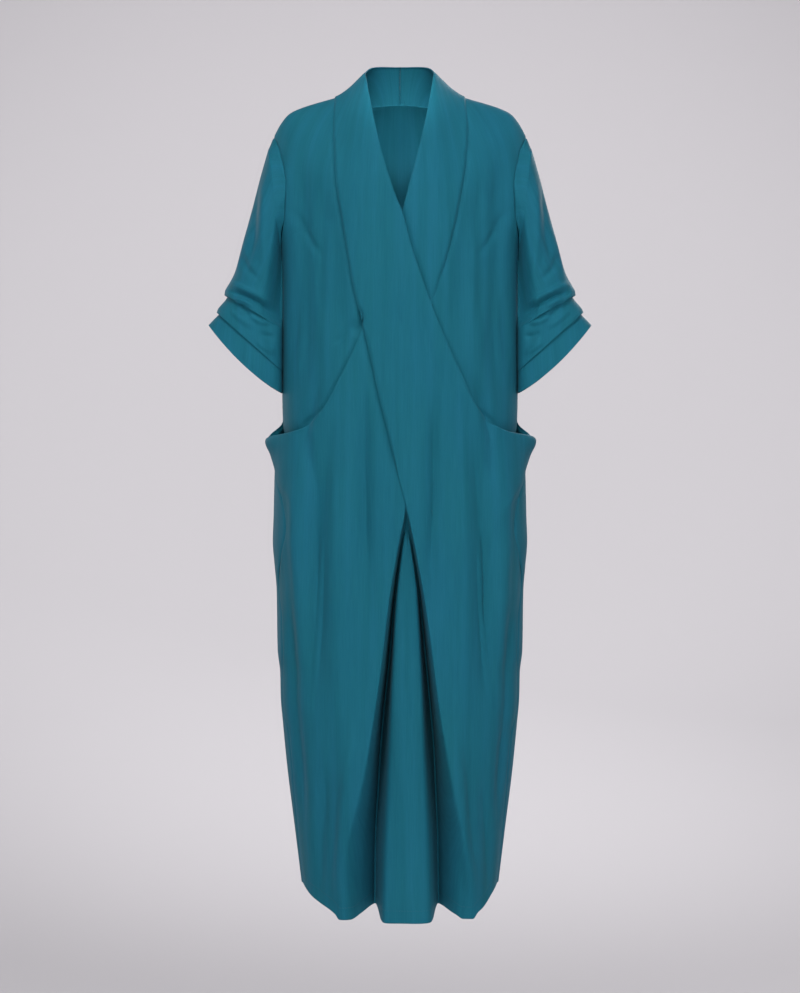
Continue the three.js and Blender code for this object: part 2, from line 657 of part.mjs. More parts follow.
// side is the shoulder the wrap starts from, -1 for the wearer's right.
function wrap(table, side, lift, openingEdge) {
  const shares = spread(WRAP_COLUMNS, 0, 1);
  const neckSag = 8; // the slope of the collar over the shoulder is a little hollow
  const stand = spread(STAND_STEPS, 90, 0).slice(0, -1).map((turn) => {
    const { foot, edge } = standRow(turn, side);
    return shares.map((share) => {
      const point = foot.clone().lerp(edge, share);
      const sag = 4 * share * (1 - share);
      point.z -= neckSag * sag * Math.cos(turn * RAD);
      point.y += 3 * sag * Math.sin(turn * RAD);
      return point;
    });
  });
  const upper = table.map((row) => ({
    outer: { angle: angleAt(row.outerX, row.outerZ), z: row.outerZ },
    inner: { angle: angleAt(row.innerX, row.innerZ), z: row.innerZ },
    roll: 0,
  }));
  const hemAngle = (share) =>
    mix(
      angleAt(openingEdge(SLIT_END) - side * openingRoll(SLIT_END), SLIT_END),
      -side * seamAngle(SIDE_HEM),
      clamp((share - ROLL_SHARE) / (1 - ROLL_SHARE), 0, 1),
    );
  const hemDrop = (share) => {
    const level = mix(SLIT_END, SIDE_HEM, share);
    const rolled = clamp(share / ROLL_SHARE, 0, 1);
    const rollX = openingEdge(SLIT_END) - side * openingRoll(SLIT_END) * rolled;
    const x = rolled < 1 ? rollX : skirtHalf(level) * power(Math.sin(hemAngle(share) * RAD));
    return share === 1 ? 0 : frontHem(x) - level;
  };
  const lower = tipHeights.map((innerZ, k) => {
    const outerZ = openingHeights[k];
    const seam = seamAngle(innerZ) - SEAM_TURN;
    return {
      outer: { angle: angleAt(openingEdge(outerZ), outerZ), z: outerZ },
      inner: { angle: -side * seam, z: innerZ },
      roll: smooth((k + 1) / 3),
      hem: smooth((k - 8) / 7),
      hemDrop,
    };
  });
  const front = [...upper, ...lower].map((row) =>
    shares.map((share) => wrapPoint(row, share, side, lift, openingEdge)),
  );
  return [...stand, ...front];
}

// Near the neck the wraps do not cross, so both lie close to the panels under them.
const liftAt = (lift, z) => mix(Math.min(lift, UNDER_LIFT), lift, smooth((-z - 60) / 90));

function wrapPoint(row, share, side, lift, openingEdge) {
  let z = mix(row.outer.z, row.inner.z, share);
  let angle = mix(row.outer.angle, row.inner.angle, share);
  let sunk = 0;
  if (row.roll > 0) {
    const rolled = clamp(share / ROLL_SHARE, 0, 1);
    const rollEnd = openingEdge(z) - side * openingRoll(z) * rolled;
    const past = clamp((share - ROLL_SHARE) / (1 - ROLL_SHARE), 0, 1);
    const turned = mix(angleAt(rollEnd, z), row.inner.angle, past);
    angle = mix(angle, turned, row.roll);
    sunk = openingDeep(z) * (1 - smooth(rolled));
  }
  if (row.hem) z += row.hem * row.hemDrop(share);
  const point = wrapSurface(angle, z);
  const onShoulder = z > -SHOULDER_FADE && depthAt(angle, z) < 2;
  const out = onShoulder
    ? new THREE.Vector3(side * 0.55, 0, 0.83)
    : normalOf(wrapSurface, angle, z);
  const flush = row.roll > 0 ? smooth((Math.abs(row.inner.angle) - Math.abs(angle)) / 22) : 1;
  point.addScaledVector(out, liftAt(lift, z) * flush);
  point.y += sunk;
  return point;
}

// ---- Centre panel ----
const YOKE_ROW = armDepths.length - 3; // row of the back at which its shoulders are parted from it
const SPLIT_HALF_GAP = 0.4;

const CENTRE_TOP = -575; // behind the crossing wraps
const CENTRE_LAP = 9; // how far its feet reach past the wraps' edges
const CENTRE_SHORT = 3; // how far inside the wraps' edges its walls come down
const CENTRE_BEHIND = 2.6; // middle of the panel's foot behind the middle of the wrap's edge

// Middle of a wrap's edge at the front opening. Above the crossing both are taken on the under wrap.
function openingPoint(isOver, z) {
  const x = isOver ? openingOver(z) : openingUnder(z);
  const lift = isOver ? mix(UNDER_LIFT, OVER_LIFT, smooth((CROSSING - 5 - z) / 50)) : UNDER_LIFT;
  const angle = angleAt(x, z);
  const point = skirt(angle, z).addScaledVector(normalOf(skirt, angle, z), lift);
  point.y += openingDeep(z);
  return point;
}
function centrePanel() {
  const shares = BOX_FOLD.map((row) => row.along);
  return [CENTRE_TOP, (CENTRE_TOP + CROSSING) / 2, ...openingHeights].map((height) => {
    const half = panelHalf(height);
    const ridgeY = -skirtFront(height) + panelInset(height);
    return bothSides(shares).map((share) => {
      const fold = BOX_FOLD[shares.indexOf(Math.abs(share))];
      const way = Math.sign(share);
      const edge = openingPoint(share > 0, height);
      const gap = way * (edge.x - CENTRE_X);
      const reach = Math.max(gap - CENTRE_SHORT, 1);
      const footX = Math.max(gap, 0) + CENTRE_LAP;
      const foldX = mix(Math.min(half, Math.max(reach - 0.6, 0.8)) * fold.across, reach, fold.wall);
      const stands = fold.height * smooth((gap - 4) / 6);
      return new THREE.Vector3(
        CENTRE_X + way * (fold.along < 1 ? foldX : footX),
        mix(edge.y + CENTRE_BEHIND, ridgeY, stands),
        height - panelDrop(height) * smooth(stands),
      );
    });
  });
}

// ---- Sleeves and cuffs ----
// Points of a ring: 0 is the outer edge, then the front, the inner edge and the back.
function ringPoint(row, turn, side) {
  const outward = Math.cos(turn * RAD);
  const forward = Math.sin(turn * RAD);
  const x = mix(row.inX, row.outX, (1 + outward) / 2);
  const z = mix(row.inZ, row.outZ, (1 + outward) / 2);
  return new THREE.Vector3(side * x, -row.depth * forward - 2, z - row.sag * forward ** 2);
}

// The sleeve's first ring sits in the armhole, just clear of its edge.
function armholePoint(turn, side) {
  const depth = (ARMHOLE_DROP * (1 - Math.cos(turn * RAD))) / 2;
  const inFront = turn <= 180;
  const under = smooth((Math.abs(180 - turn) - 90) / -60);
  const angle = Math.min(edgeAngle(depth) + 0.65, 89.9);
  const point = trunk(side * (inFront ? angle : 180 - angle), depth - 1.2 * under);
  if (depth === 0) point.set(side * (armholeX(0) + 1), 0, shoulderLine(armholeX(0) + 1));
  if (turn === 180) point.y = 0;
  point.x += side * 2.6 * under;
  return point;
}

function sleeveRings(table, side, startsAtArmhole) {
  const turns = spread(2 * ARM_STEPS, 0, 360).slice(0, -1);
  const rings = table.map((row) => turns.map((turn) => ringPoint(row, turn, side)));
  if (startsAtArmhole) {
    rings.unshift(turns.map((turn) => armholePoint(turn, side)));
    // The first full ring is still drawn towards the armhole's shape.
    rings[1] = rings[1].map((point, j) => {
      const low = smooth((Math.abs(180 - turns[j]) - 90) / -60);
      return point.lerp(rings[0][j], 0.35 * (1 - low));
    });
  }
  return rings;
}

// ---- Assembly ----
const CLOTH_COLOUR = 0x23687c;
const cloth = () =>
  new THREE.MeshStandardMaterial({ color: CLOTH_COLOUR, roughness: 0.72, metalness: 0 });

function piece(name, rows, thickness = WALL, isTube = false) {
  const mesh = new THREE.Mesh(wallOf(rows, thickness, isTube), cloth());
  mesh.name = name;
  return mesh;
}

// Parts a grid of points at a row, with a small gap between the two.
function parted(rows, at) {
  const moved = (row, next) =>
    row.map((point, k) => {
      const way = next[k].clone().sub(point).normalize();
      return point.clone().addScaledVector(way, SPLIT_HALF_GAP);
    });
  return [
    [...rows.slice(0, at), moved(rows[at], rows[at - 1])],
    [moved(rows[at], rows[at + 1]), ...rows.slice(at + 1)],
  ];
}

// The same at a column.
function partedAcross(rows, at) {
  const turned = (grid) => grid[0].map((_, k) => grid.map((row) => row[k]));
  return parted(turned(rows), at).map(turned);
}

// The back is one with its shoulders, and each wrap with its collar. They are parted here so that the
// neck stays open to the solids that stand for them.
const [backTop, backRest] = parted(back(), YOKE_ROW);
const [shoulderRight, shoulderLeft] = partedAcross(backTop, (backTop[0].length - 1) / 2);
const [collarLeft, under] = parted(wrap(UNDER_WRAP, 1, UNDER_LIFT, openingUnder), STAND_STEPS + 1);
const [collarRight, over] = parted(wrap(OVER_WRAP, -1, OVER_LIFT, openingOver), STAND_STEPS + 1);

const dress = new THREE.Group();
dress.add(
  piece("back", backRest),
  piece("back_shoulder_right", shoulderRight),
  piece("back_shoulder_left", shoulderLeft),
  piece("side_front_right", sideFront(-1)),
  piece("side_front_left", sideFront(1)),
  piece("collar_right", collarRight, BAND_WALL),
  piece("collar_left", collarLeft, BAND_WALL),
  piece("wrap_under", under, BAND_WALL),
  piece("wrap_over", over, BAND_WALL),
  piece("centre_panel", centrePanel()),
);
for (const [side, label] of [
  [-1, "right"],
  [1, "left"],
]) {
  dress.add(
    piece(`sleeve_${label}`, sleeveRings(SLEEVE, side, true), WALL, true),
    piece(`cuff_${label}`, sleeveRings(CUFF, side, false), WALL, true),
  );
}

export default dress;
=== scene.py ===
"""A wrap-front kimono dress in teal cloth, filled out as if worn, with nobody inside.

Every piece of cloth is a surface worked out from two parameters on a grid, in millimetres, and given
a thin wall. +Z is up, the front faces -Y and +X is the wearer's left. The origin is midway between
the points where the collar meets the shoulder line.
"""
import logging
import math
from dataclasses import dataclass
from enum import Enum
from functools import cached_property
from typing import Callable

import bpy
import numpy as np
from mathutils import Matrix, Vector


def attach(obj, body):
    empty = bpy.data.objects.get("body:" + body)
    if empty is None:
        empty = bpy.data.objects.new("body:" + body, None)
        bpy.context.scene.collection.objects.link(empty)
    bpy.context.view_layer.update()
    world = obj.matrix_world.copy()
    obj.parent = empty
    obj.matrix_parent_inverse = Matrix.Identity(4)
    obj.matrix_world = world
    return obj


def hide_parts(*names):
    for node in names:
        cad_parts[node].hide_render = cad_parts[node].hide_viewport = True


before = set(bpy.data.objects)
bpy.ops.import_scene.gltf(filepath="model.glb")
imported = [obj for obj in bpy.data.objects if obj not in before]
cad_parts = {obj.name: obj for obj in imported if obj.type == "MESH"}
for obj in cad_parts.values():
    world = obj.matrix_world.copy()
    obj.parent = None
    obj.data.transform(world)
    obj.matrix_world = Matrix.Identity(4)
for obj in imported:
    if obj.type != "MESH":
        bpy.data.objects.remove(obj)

Array = np.ndarray
Tree = bpy.types.NodeTree
Socket = bpy.types.NodeSocket
LOG = logging.getLogger("kimono_dress")
MM = 0.001


# ---------------------------------------------------------------- sizes, in millimetres
ARMHOLE_DROP = 195.0  # from the shoulder line down to the underarm
SHOULDER_ROUND = 130.0  # depth at which the rounding of the shoulder ends
SHOULDER_FADE = 330.0  # depth below which the rows of a panel are level
SECTION_POWER = 0.88  # below 1 the sections are fuller than an ellipse
COLLAR_SEAM_X = 100.0  # half the distance between the two collar seams at the shoulder
BACK_NECK_RISE = 28.0  # the back's virtual shoulder line rises by this in the middle
BODICE_END = 499.0  # depth at which the back's rows pass from the trunk to the skirt
ARM_SEAM_DEPTH = 225.0  # depth below which the armhole's seam fades
SEWN_DEPTH = 560.0  # depth below which the wraps are sewn to the back
SEAM_GAP = 0.05  # between two panels at a side seam, in degrees
SKIRT_KEYS = 16  # rows that steer the skirt half of a wrap
POCKET_TIP = -532.0  # height at which the pocket mouth stands out furthest
POCKET_BOTTOM = 760.0  # depth of the pocket bags
POCKET_HOLLOW = 9.0  # how far the pocket's back falls in at the side
CROSSING = -643.0  # height at which the edges of the two wraps part
SLIT_END = -1243.0  # hem height at the foot of the front opening
SIDE_HEM = -1213.0  # hem height at the sides
BACK_HEM = -1236.0  # hem height at the centre back
CENTRE_X = 10.5  # the wraps part a little to the wearer's left of the middle
UNDER_LIFT = 2.6  # the under wrap above the surface it lies on
OVER_LIFT = 5.4  # the over wrap, which lies on the under wrap as well
NECK_LIFT = 2.2  # both wraps above the panels at the neck
CLOTH = 1.1  # thickness of single cloth
DOUBLED = 1.9  # thickness of the collar, which is folded double


class Side(Enum):
    """A side of the wearer, with its direction along X."""

    RIGHT = -1
    LEFT = 1


class Edge(Enum):
    """An edge of a grid of points."""

    TOP = 0
    BOTTOM = 1
    FIRST = 2
    LAST = 3


class Table:
    """A short table with named columns, read as smooth curves."""

    def __init__(self, columns: str, *rows: tuple[float, ...]) -> None:
        """Keeps the rows under their column names.

        Args:
            columns: the names, parted by spaces.
            rows: one tuple of numbers for each row.
        """
        self.names = columns.split()
        self.values = np.array(rows, dtype=float)

    def column(self, name: str) -> Array:
        """Returns one column."""
        return self.values[:, self.names.index(name)]

    def curve(self, key: str, name: str) -> Callable[[Array], Array]:
        """Gives a column as a cubic of another one that never overshoots between rows.

        Args:
            key: the column to look along.
            name: the column to read.

        Returns:
            A function of an array of keys, level beyond both ends of the table.
        """
        order = np.argsort(self.column(key))
        return monotone(self.column(key)[order], self.column(name)[order])

    def along(self, name: str) -> Callable[[Array], Array]:
        """Gives a column as a smooth function of the row number."""
        return monotone(np.arange(len(self.values), dtype=float), self.column(name))


def monotone(at: Array, value: Array) -> Callable[[Array], Array]:
    """Joins points by cubics whose slopes are the weighted harmonic means of their neighbours'.

    Args:
        at: increasing positions.
        value: the value at each position.

    Returns:
        A function of an array of positions.
    """
    step = np.diff(at)
    slope = np.diff(value) / step
    tangent = np.empty_like(value)
    tangent[0], tangent[-1] = slope[0], slope[-1]
    before, after = 2 * step[1:] + step[:-1], step[1:] + 2 * step[:-1]
    turning = slope[:-1] * slope[1:] <= 0
    safe = np.where(turning, 1.0, slope[:-1]), np.where(turning, 1.0, slope[1:])
    mean = (before + after) / (before / safe[0] + after / safe[1])
    tangent[1:-1] = np.where(turning, 0.0, mean)

    def evaluate(position: Array) -> Array:
        """Evaluates the cubic pieces.

        Args:
            position: where to evaluate them.

        Returns:
            The values there.
        """
        p = np.clip(position, at[0], at[-1])
        i = np.clip(np.searchsorted(at, p, side="right") - 1, 0, len(step) - 1)
        s, h = (p - at[i]) / step[i], step[i]
        return (
            value[i] * (1 + 2 * s) * (1 - s) ** 2
            + h * tangent[i] * s * (1 - s) ** 2
            + value[i + 1] * s * s * (3 - 2 * s)
            + h * tangent[i + 1] * s * s * (s - 1)
        )

    return evaluate


def smooth(value: Array | float) -> Array:
    """Eases from 0 to 1 with level ends: 3s^2 - 2s^3 of the value held between 0 and 1."""
    s = np.clip(value, 0.0, 1.0)
    return s * s * (3 - 2 * s)


def mix(a: Array | float, b: Array | float, share: Array | float) -> Array:
    """Goes in a straight line from a to b."""
    return a + (b - a) * share


def power(value: Array) -> Array:
    """Raises the size of a number to the section power and keeps its sign."""
    return np.sign(value) * np.abs(value) ** SECTION_POWER


def root_power(value: Array) -> Array:
    """Undoes power."""
    return np.sign(value) * np.abs(value) ** (1 / SECTION_POWER)


def bump(value: Array) -> Array:
    """A bell, exp(-v^2)."""
    return np.exp(-value * value)


def unit(vectors: Array) -> Array:
    """Scales vectors to length 1."""
    return vectors / np.maximum(np.linalg.norm(vectors, axis=-1, keepdims=True), 1e-9)


def stations(count: int, length: float) -> Array:
    """Positions from 0 to 1, with two close to each end so that a rim can be rounded.

    Args:
        count: number of even steps.
        length: real length that the positions stand for, in millimetres.

    Returns:
        The increasing positions.
    """
    even = np.linspace(0.0, 1.0, count + 1)
    near = np.array([0.25, 0.8]) / length
    return np.unique(np.concatenate([even, near, 1 - near]))


# ---------------------------------------------------------------- tables
SHOULDER_LINE = Table(
    "x z",
    (0, 50), (30, 49), (51, 39.5), (63, 27), (77, 13.2), (96, 0.5), (106, -2.6), (132, -10),
    (156, -18), (171.6, -26), (183.5, -40), (193, -57), (197, -65), (205, -85),
)
TRUNK = Table(
    "depth half front back",
    (0, 200, 70, 84), (60, 200, 88, 90), (110, 198, 103, 95), (150, 193, 112, 97),
    (180, 188, 118, 97), (195, 185, 120, 97), (240, 182.6, 124, 96), (300, 181.6, 126, 94),
    (380, 181.8, 124, 92), (432, 182, 122, 91), (500, 181, 119, 93), (540, 176, 112, 95),
    (600, 173, 107, 96), (760, 173, 106, 98),
)
SKIRT = Table(
    "z half front back",
    (-300, 181.6, 126, 94), (-400, 182, 125, 92), (-465, 184, 124.5, 92), (-499, 186, 124.5, 93),
    (-532, 189.5, 125, 95), (-575, 193.5, 126, 99), (-613, 194.5, 126.5, 102),
    (-650, 195.3, 127, 104), (-687, 196.5, 127, 106), (-724, 193.7, 127, 107),
    (-761, 190.6, 127, 108), (-854, 189, 127, 108), (-891, 185, 127, 107),
    (-928, 184.2, 127, 106), (-965, 181, 126.5, 105), (-1040, 173.6, 126, 103),
    (-1114, 164.3, 125, 100), (-1213, 152, 124, 96), (-1262, 146, 124, 94),
)
TIP_PULL = Table("z out", (-499, 0), (-515, 7), (-532, 17), (-553, 8), (-577, 0))
SIDE_SEAM = Table(
    "z angle",
    (-532, 90), (-575, 84), (-607, 72), (-640, 63), (-675, 61), (-705, 67), (-750, 77),
    (-800, 72), (-840, 71), (-900, 78), (-933, 80), (-965, 73), (-1000, 70), (-1060, 72),
    (-1140, 76), (-1213, 80),
)
ARMHOLE = Table(
    "depth x",
    (0, 195.5), (20, 190.5), (50, 184), (110, 176.5), (149, 177.5), (180, 182), (195, 185),
)
SIDE_FRONT_EDGE = Table(
    "depth x",
    (0, 93), (98, 88), (148, 82), (188, 74), (245, 60), (300, 46), (340, 40), (400, 40),
    (467, 46), (532, 56), (760, 62),
)
OVER_WRAP = Table(
    "outer_x outer_z inner_x inner_z",
    (-100, -1, -54, 38), (-101, -7, -51, 24), (-102, -24, -48, 5), (-102.5, -48, -41.8, -28),
    (-101.5, -75, -35.8, -60), (-99, -112, -26, -101), (-95.5, -150, -12.4, -146),
    (-89, -192, 2.3, -184), (-80, -245, 17, -240), (-71, -298, 33, -288), (-58, -352, 50, -336),
    (-45, -405, 70, -384), (-31.6, -467, 91, -430), (-17, -526, 115, -482), (-2.3, -590, 155, -516),
)
UNDER_WRAP = Table(
    "outer_x outer_z inner_x inner_z",
    (100, -1, 51.5, 38), (101, -7, 49.5, 24), (102.5, -24, 47, 5), (104, -48, 41.5, -28),
    (103, -75, 35, -60), (99.5, -112, 25.5, -101), (94, -150, 14, -146), (86.5, -192, 3.5, -184),
    (73, -245, -13, -235), (57, -298, -31, -285), (43, -350, -47, -334), (33, -405, -66, -387),
    (26, -467, -90, -436), (19, -526, -116, -484), (13, -590, -155, -516),
)
OPENING = Table(
    "z over under roll deep",
    (-590, 1, 14, 3, 0), (-643, 10, 9, 3, 6), (-700, 20.5, -0.5, 4, 34), (-770, 30, -9, 7.5, 62),
    (-882, 42, -19, 11, 84), (-936, 47, -25, 13, 88), (-1004, 53, -31, 18, 88),
    (-1072, 56, -35, 28, 86), (-1145, 59, -39, 42, 82), (-1262, 60, -40, 54, 76),
)
FRONT_HEM = Table(
    "x z",
    (-149, -1213), (-130, -1232), (-107, -1246), (-99, -1252), (-92, -1260), (-74, -1260),
    (-60, -1253), (-38, -1243), (60, -1243), (79, -1253), (93, -1260), (111, -1260),
    (117, -1251), (125, -1244), (134, -1232), (149, -1213),
)
CENTRE_FOLD = Table(
    "z half inset drop",
    (-575, 5, 4, 0), (-643, 7, 7, 0), (-700, 11, 12, 0), (-774, 16.5, 13, 0), (-850, 21, 12, 0),
    (-936, 25, 10, 0), (-1004, 27, 8, 0), (-1075, 30, 5, 5), (-1145, 33, 1, 11),
    (-1243, 36.5, -7, 20),
)
BOX_FOLD = Table(  # half a section of the fold, from its ridge down its wall to the wrap's edge
    "along across wall height low_wall low_height",
    (0, 0, 0, 1, 0, 1), (0.12, 0.3, 0, 0.998, 0, 0.996), (0.25, 0.62, 0, 0.99, 0, 0.98),
    (0.35, 0.86, 0, 0.96, 0.04, 0.94), (0.42, 0.96, 0.03, 0.88, 0.14, 0.85),
    (0.52, 1, 0.14, 0.66, 0.36, 0.62), (0.64, 1, 0.36, 0.38, 0.6, 0.36),
    (0.76, 1, 0.68, 0.16, 0.82, 0.16), (0.88, 1, 1, 0, 1, 0), (1, 1, 1, 0, 1, 0),
)
SLEEVE_RINGS = Table(
    "out_x out_z in_x in_z depth sag",
    (203, -80, 182.2, -256, 50, 0), (214, -118, 181.8, -280, 52, 0),
    (228, -172, 181.5, -304, 53, 0), (243, -226, 181.5, -324, 53, 0),
    (256, -273, 181.5, -341, 52, 0), (270.5, -300, 181.5, -354, 51.5, 0),
    (271.5, -306, 181.5, -359, 52, 0), (264.5, -305, 181.5, -364, 47, 0),
    (269, -313, 181.5, -378, 48.4, 0), (281.5, -328, 181.6, -419, 50, 0),
    (283.5, -333.5, 181.7, -425, 50, 0),
)
CUFF_RINGS = Table(
    "out_x out_z in_x in_z depth sag",
    (274, -331, 182.9, -415, 45.2, 0), (281, -338, 182.5, -431, 46.4, 3),
    (289, -346, 182.2, -446, 47.4, 7), (296, -353.5, 182.1, -459, 48, 11),
)
# Soft folds as troughs and ridges round the body. The angle is counted from the centre front or back.
FOLD_COLUMNS = "angle drift bend top bottom width out"
BODICE_FOLDS = Table(
    FOLD_COLUMNS,
    (47, 8, 1, -60, -500, 9, -8.5), (32, -3, 1, -130, -420, 7.5, -6), (60, -4, 0, -190, -470, 4, 3),
)
SKIRT_FOLDS = Table(
    FOLD_COLUMNS,
    (31, 14, 1, -480, -980, 6, -10), (13, 1, 1, -480, -860, 4.5, -6.5), (52, -2, 1, -560, -900, 6, 5),
    (57, 4, 1, -760, -1150, 6, -6.5), (22, 9, 0, -900, -1400, 6, 6),
)
BACK_FOLDS = Table(
    FOLD_COLUMNS,
    (14, 3, 1, -170, -1500, 7, -8), (-9, -4, 1, -420, -1500, 7, -7), (38, -3, 1, -110, -900, 8, -7),
    (-34, 2, 1, -140, -1500, 8, -8), (60, -6, 1, -480, -1300, 8, -6), (-60, 8, 1, -480, -1200, 8, -7),
)


def curves(table: Table, key: str, *names: str) -> list[Callable[[Array], Array]]:
    """Gives several columns of a table as curves of one of them."""
    return [table.curve(key, name) for name in names]


@dataclass(frozen=True)
class Crease:
    """A soft trough or ridge along a line on the front or the back, given by x and z."""

    path: tuple[tuple[float, float], ...]
    width: float
    out: float
    ends: float = 0.3  # share of the line over which each end fades

    @staticmethod
    def beside(table: Table, name: str, top: float, bottom: float, width: float, out: float) -> "Crease":
        """A groove along an edge of a wrap.

        Args:
            table: the wrap's edges.
            name: which edge of it.
            top: height where the groove starts.
            bottom: height where it ends.
            width: half its width.
            out: its height, negative for a groove.

        Returns:
            The groove.
        """
        x, z = table.column(f"{name}_x"), table.column(f"{name}_z")
        kept = (z <= top) & (z >= bottom)
        return Crease(tuple(zip(x[kept].tolist(), z[kept].tolist())), width, out, 0.12)

    def relief(self, x: Array, z: Array) -> Array:
        """Height of the crease: a bell of the distance to its line, fading at both ends.

        Args:
            x: positions across.
            z: heights.

        Returns:
            The distance to move outwards.
        """
        points = np.array(self.path, dtype=float)
        lengths = np.linalg.norm(np.diff(points, axis=0), axis=1)
        total = lengths.sum()
        best = np.full(np.broadcast(x, z).shape, 1e9)
        place = np.zeros_like(best)
        run = 0.0
        for start, end, length in zip(points[:-1], points[1:], lengths):
            way = (end - start) / length
            on = np.clip((x - start[0]) * way[0] + (z - start[1]) * way[1], 0, length)
            away = np.hypot(x - start[0] - on * way[0], z - start[1] - on * way[1])
            nearer = away < best
            place = np.where(nearer, (run + on) / total, place)
            best = np.where(nearer, away, best)
            run += length
        fade = smooth(place / self.ends) * smooth((1 - place) / self.ends)
        return self.out * fade * bump(best / self.width)


# Creases on the front: across the chest, at the notch beside the bands, round the hips and the hem.
FRONT_CREASES: tuple[Crease, ...] = (
    Crease(((-60, -330), (-57, -352), (-72, -378)), 6, -5.6),
    Crease(((-62, -345), (-84, -372), (-104, -392)), 5, -3.08),
    Crease(((-115, -400), (-144, -520), (-135, -600), (-139, -800)), 9, -6.44),
    Crease(((-53, -400), (-56, -560), (-50, -760)), 9, -5.88),
    Crease(((102, -420), (124, -470), (138, -530), (144, -620)), 9, -6.16),
    Crease(((50, -430), (50, -600), (44, -760)), 9, -5.6),
    Crease(((132, -660), (136, -740), (130, -830)), 8, -4.2),
    Crease(((-119, -660), (-126, -800), (-134, -930)), 4, 3.08),
    Crease(((119, -660), (126, -800), (136, -930)), 4, 3.08),
    Crease(((-95, -560), (-98, -760), (-90, -1010)), 12, 3.64),
    Crease(((92, -560), (94, -760), (92, -1010)), 12, 3.64),
    Crease(((-66, -960), (-85, -1148), (-96, -1262)), 9, 5.6),
    Crease(((74, -960), (94, -1148), (114, -1262)), 9, 5.6),
    Crease(((-110, -1020), (-120, -1140), (-122, -1250)), 9, -4.76),
    Crease(((122, -1020), (130, -1140), (134, -1250)), 9, -4.76),
    Crease(((0, -280), (-4, -330), (3, -375)), 6, -1.96),
    Crease(((30, -330), (44, -400), (70, -470)), 9, -2.24),
    Crease(((-118, -120), (-124, -240), (-120, -380)), 10, -4.76),
    Crease(((120, -120), (126, -240), (124, -390)), 10, -4.48),
    Crease(((-160, -190), (-158, -300), (-164, -430)), 7, -4.2),
    Crease(((160, -190), (157, -300), (163, -430)), 7, -4.2),
    Crease(((-172, -170), (-150, -215), (-120, -262)), 6, -2.52),
    Crease(((172, -170), (148, -220), (122, -258)), 6, -2.52),
)
# Where a wrap's edge presses into the cloth beneath it.
UNDER_GROOVES: tuple[Crease, ...] = (
    Crease.beside(OVER_WRAP, "inner", -140, -350, 6, -4.6),
    Crease.beside(OVER_WRAP, "outer", -340, -600, 7, -4.8),
)
SIDE_GROOVES: tuple[Crease, ...] = (
    Crease.beside(OVER_WRAP, "outer", -20, -430, 3.6, -2.8),
    Crease.beside(OVER_WRAP, "inner", -280, -520, 3.6, -2.6),
    Crease.beside(UNDER_WRAP, "outer", -20, -320, 3.6, -2.8),
    Crease.beside(UNDER_WRAP, "inner", -330, -520, 3.6, -2.6),
)
# In from the tucks and down from the shoulder, with x counted from the middle on either side.
SLEEVE_CREASES: tuple[Crease, ...] = (
    Crease(((268, -288), (243, -297), (216, -310), (194, -326)), 4, 4.76),
    Crease(((270, -300), (240, -309), (212, -324), (190, -340)), 3.5, -5.88),
    Crease(((256, -314), (238, -318), (222, -330)), 4, 3.08),
    Crease(((246, -322), (236, -332), (232, -346)), 3.5, -2.8),
    Crease(((232, -340), (214, -350), (196, -352)), 4, 3.36),
    Crease(((218, -366), (204, -372), (190, -372)), 3.5, -3.64),
    Crease(((222, -378), (206, -390), (190, -400)), 4, 2.8),
    Crease(((222, -130), (226, -220), (236, -276)), 6, -3.64),
    Crease(((208, -120), (210, -220), (204, -300)), 7, 3.64),
    Crease(((236, -190), (248, -250), (256, -284)), 5, 3.08),
    Crease(((246, -240), (236, -268), (214, -288)), 5, -3.08),
    Crease(((262, -330), (244, -346), (222, -362)), 4, 2.8),
)
BACK_CREASES: tuple[Crease, ...] = (
    Crease(((-120, -160), (-40, -230), (20, -250)), 16, -2.5),
    Crease(((120, -150), (60, -215), (0, -240)), 14, -2.0),
    Crease(((150, -470), (90, -560), (60, -640)), 14, -2.5),
    Crease(((-152, -470), (-100, -570), (-80, -680)), 14, -2.5),
)


def pressed(creases: tuple[Crease, ...], x: Array, z: Array) -> Array:
    """Adds up the heights of several creases."""
    return sum(crease.relief(x, z) for crease in creases)


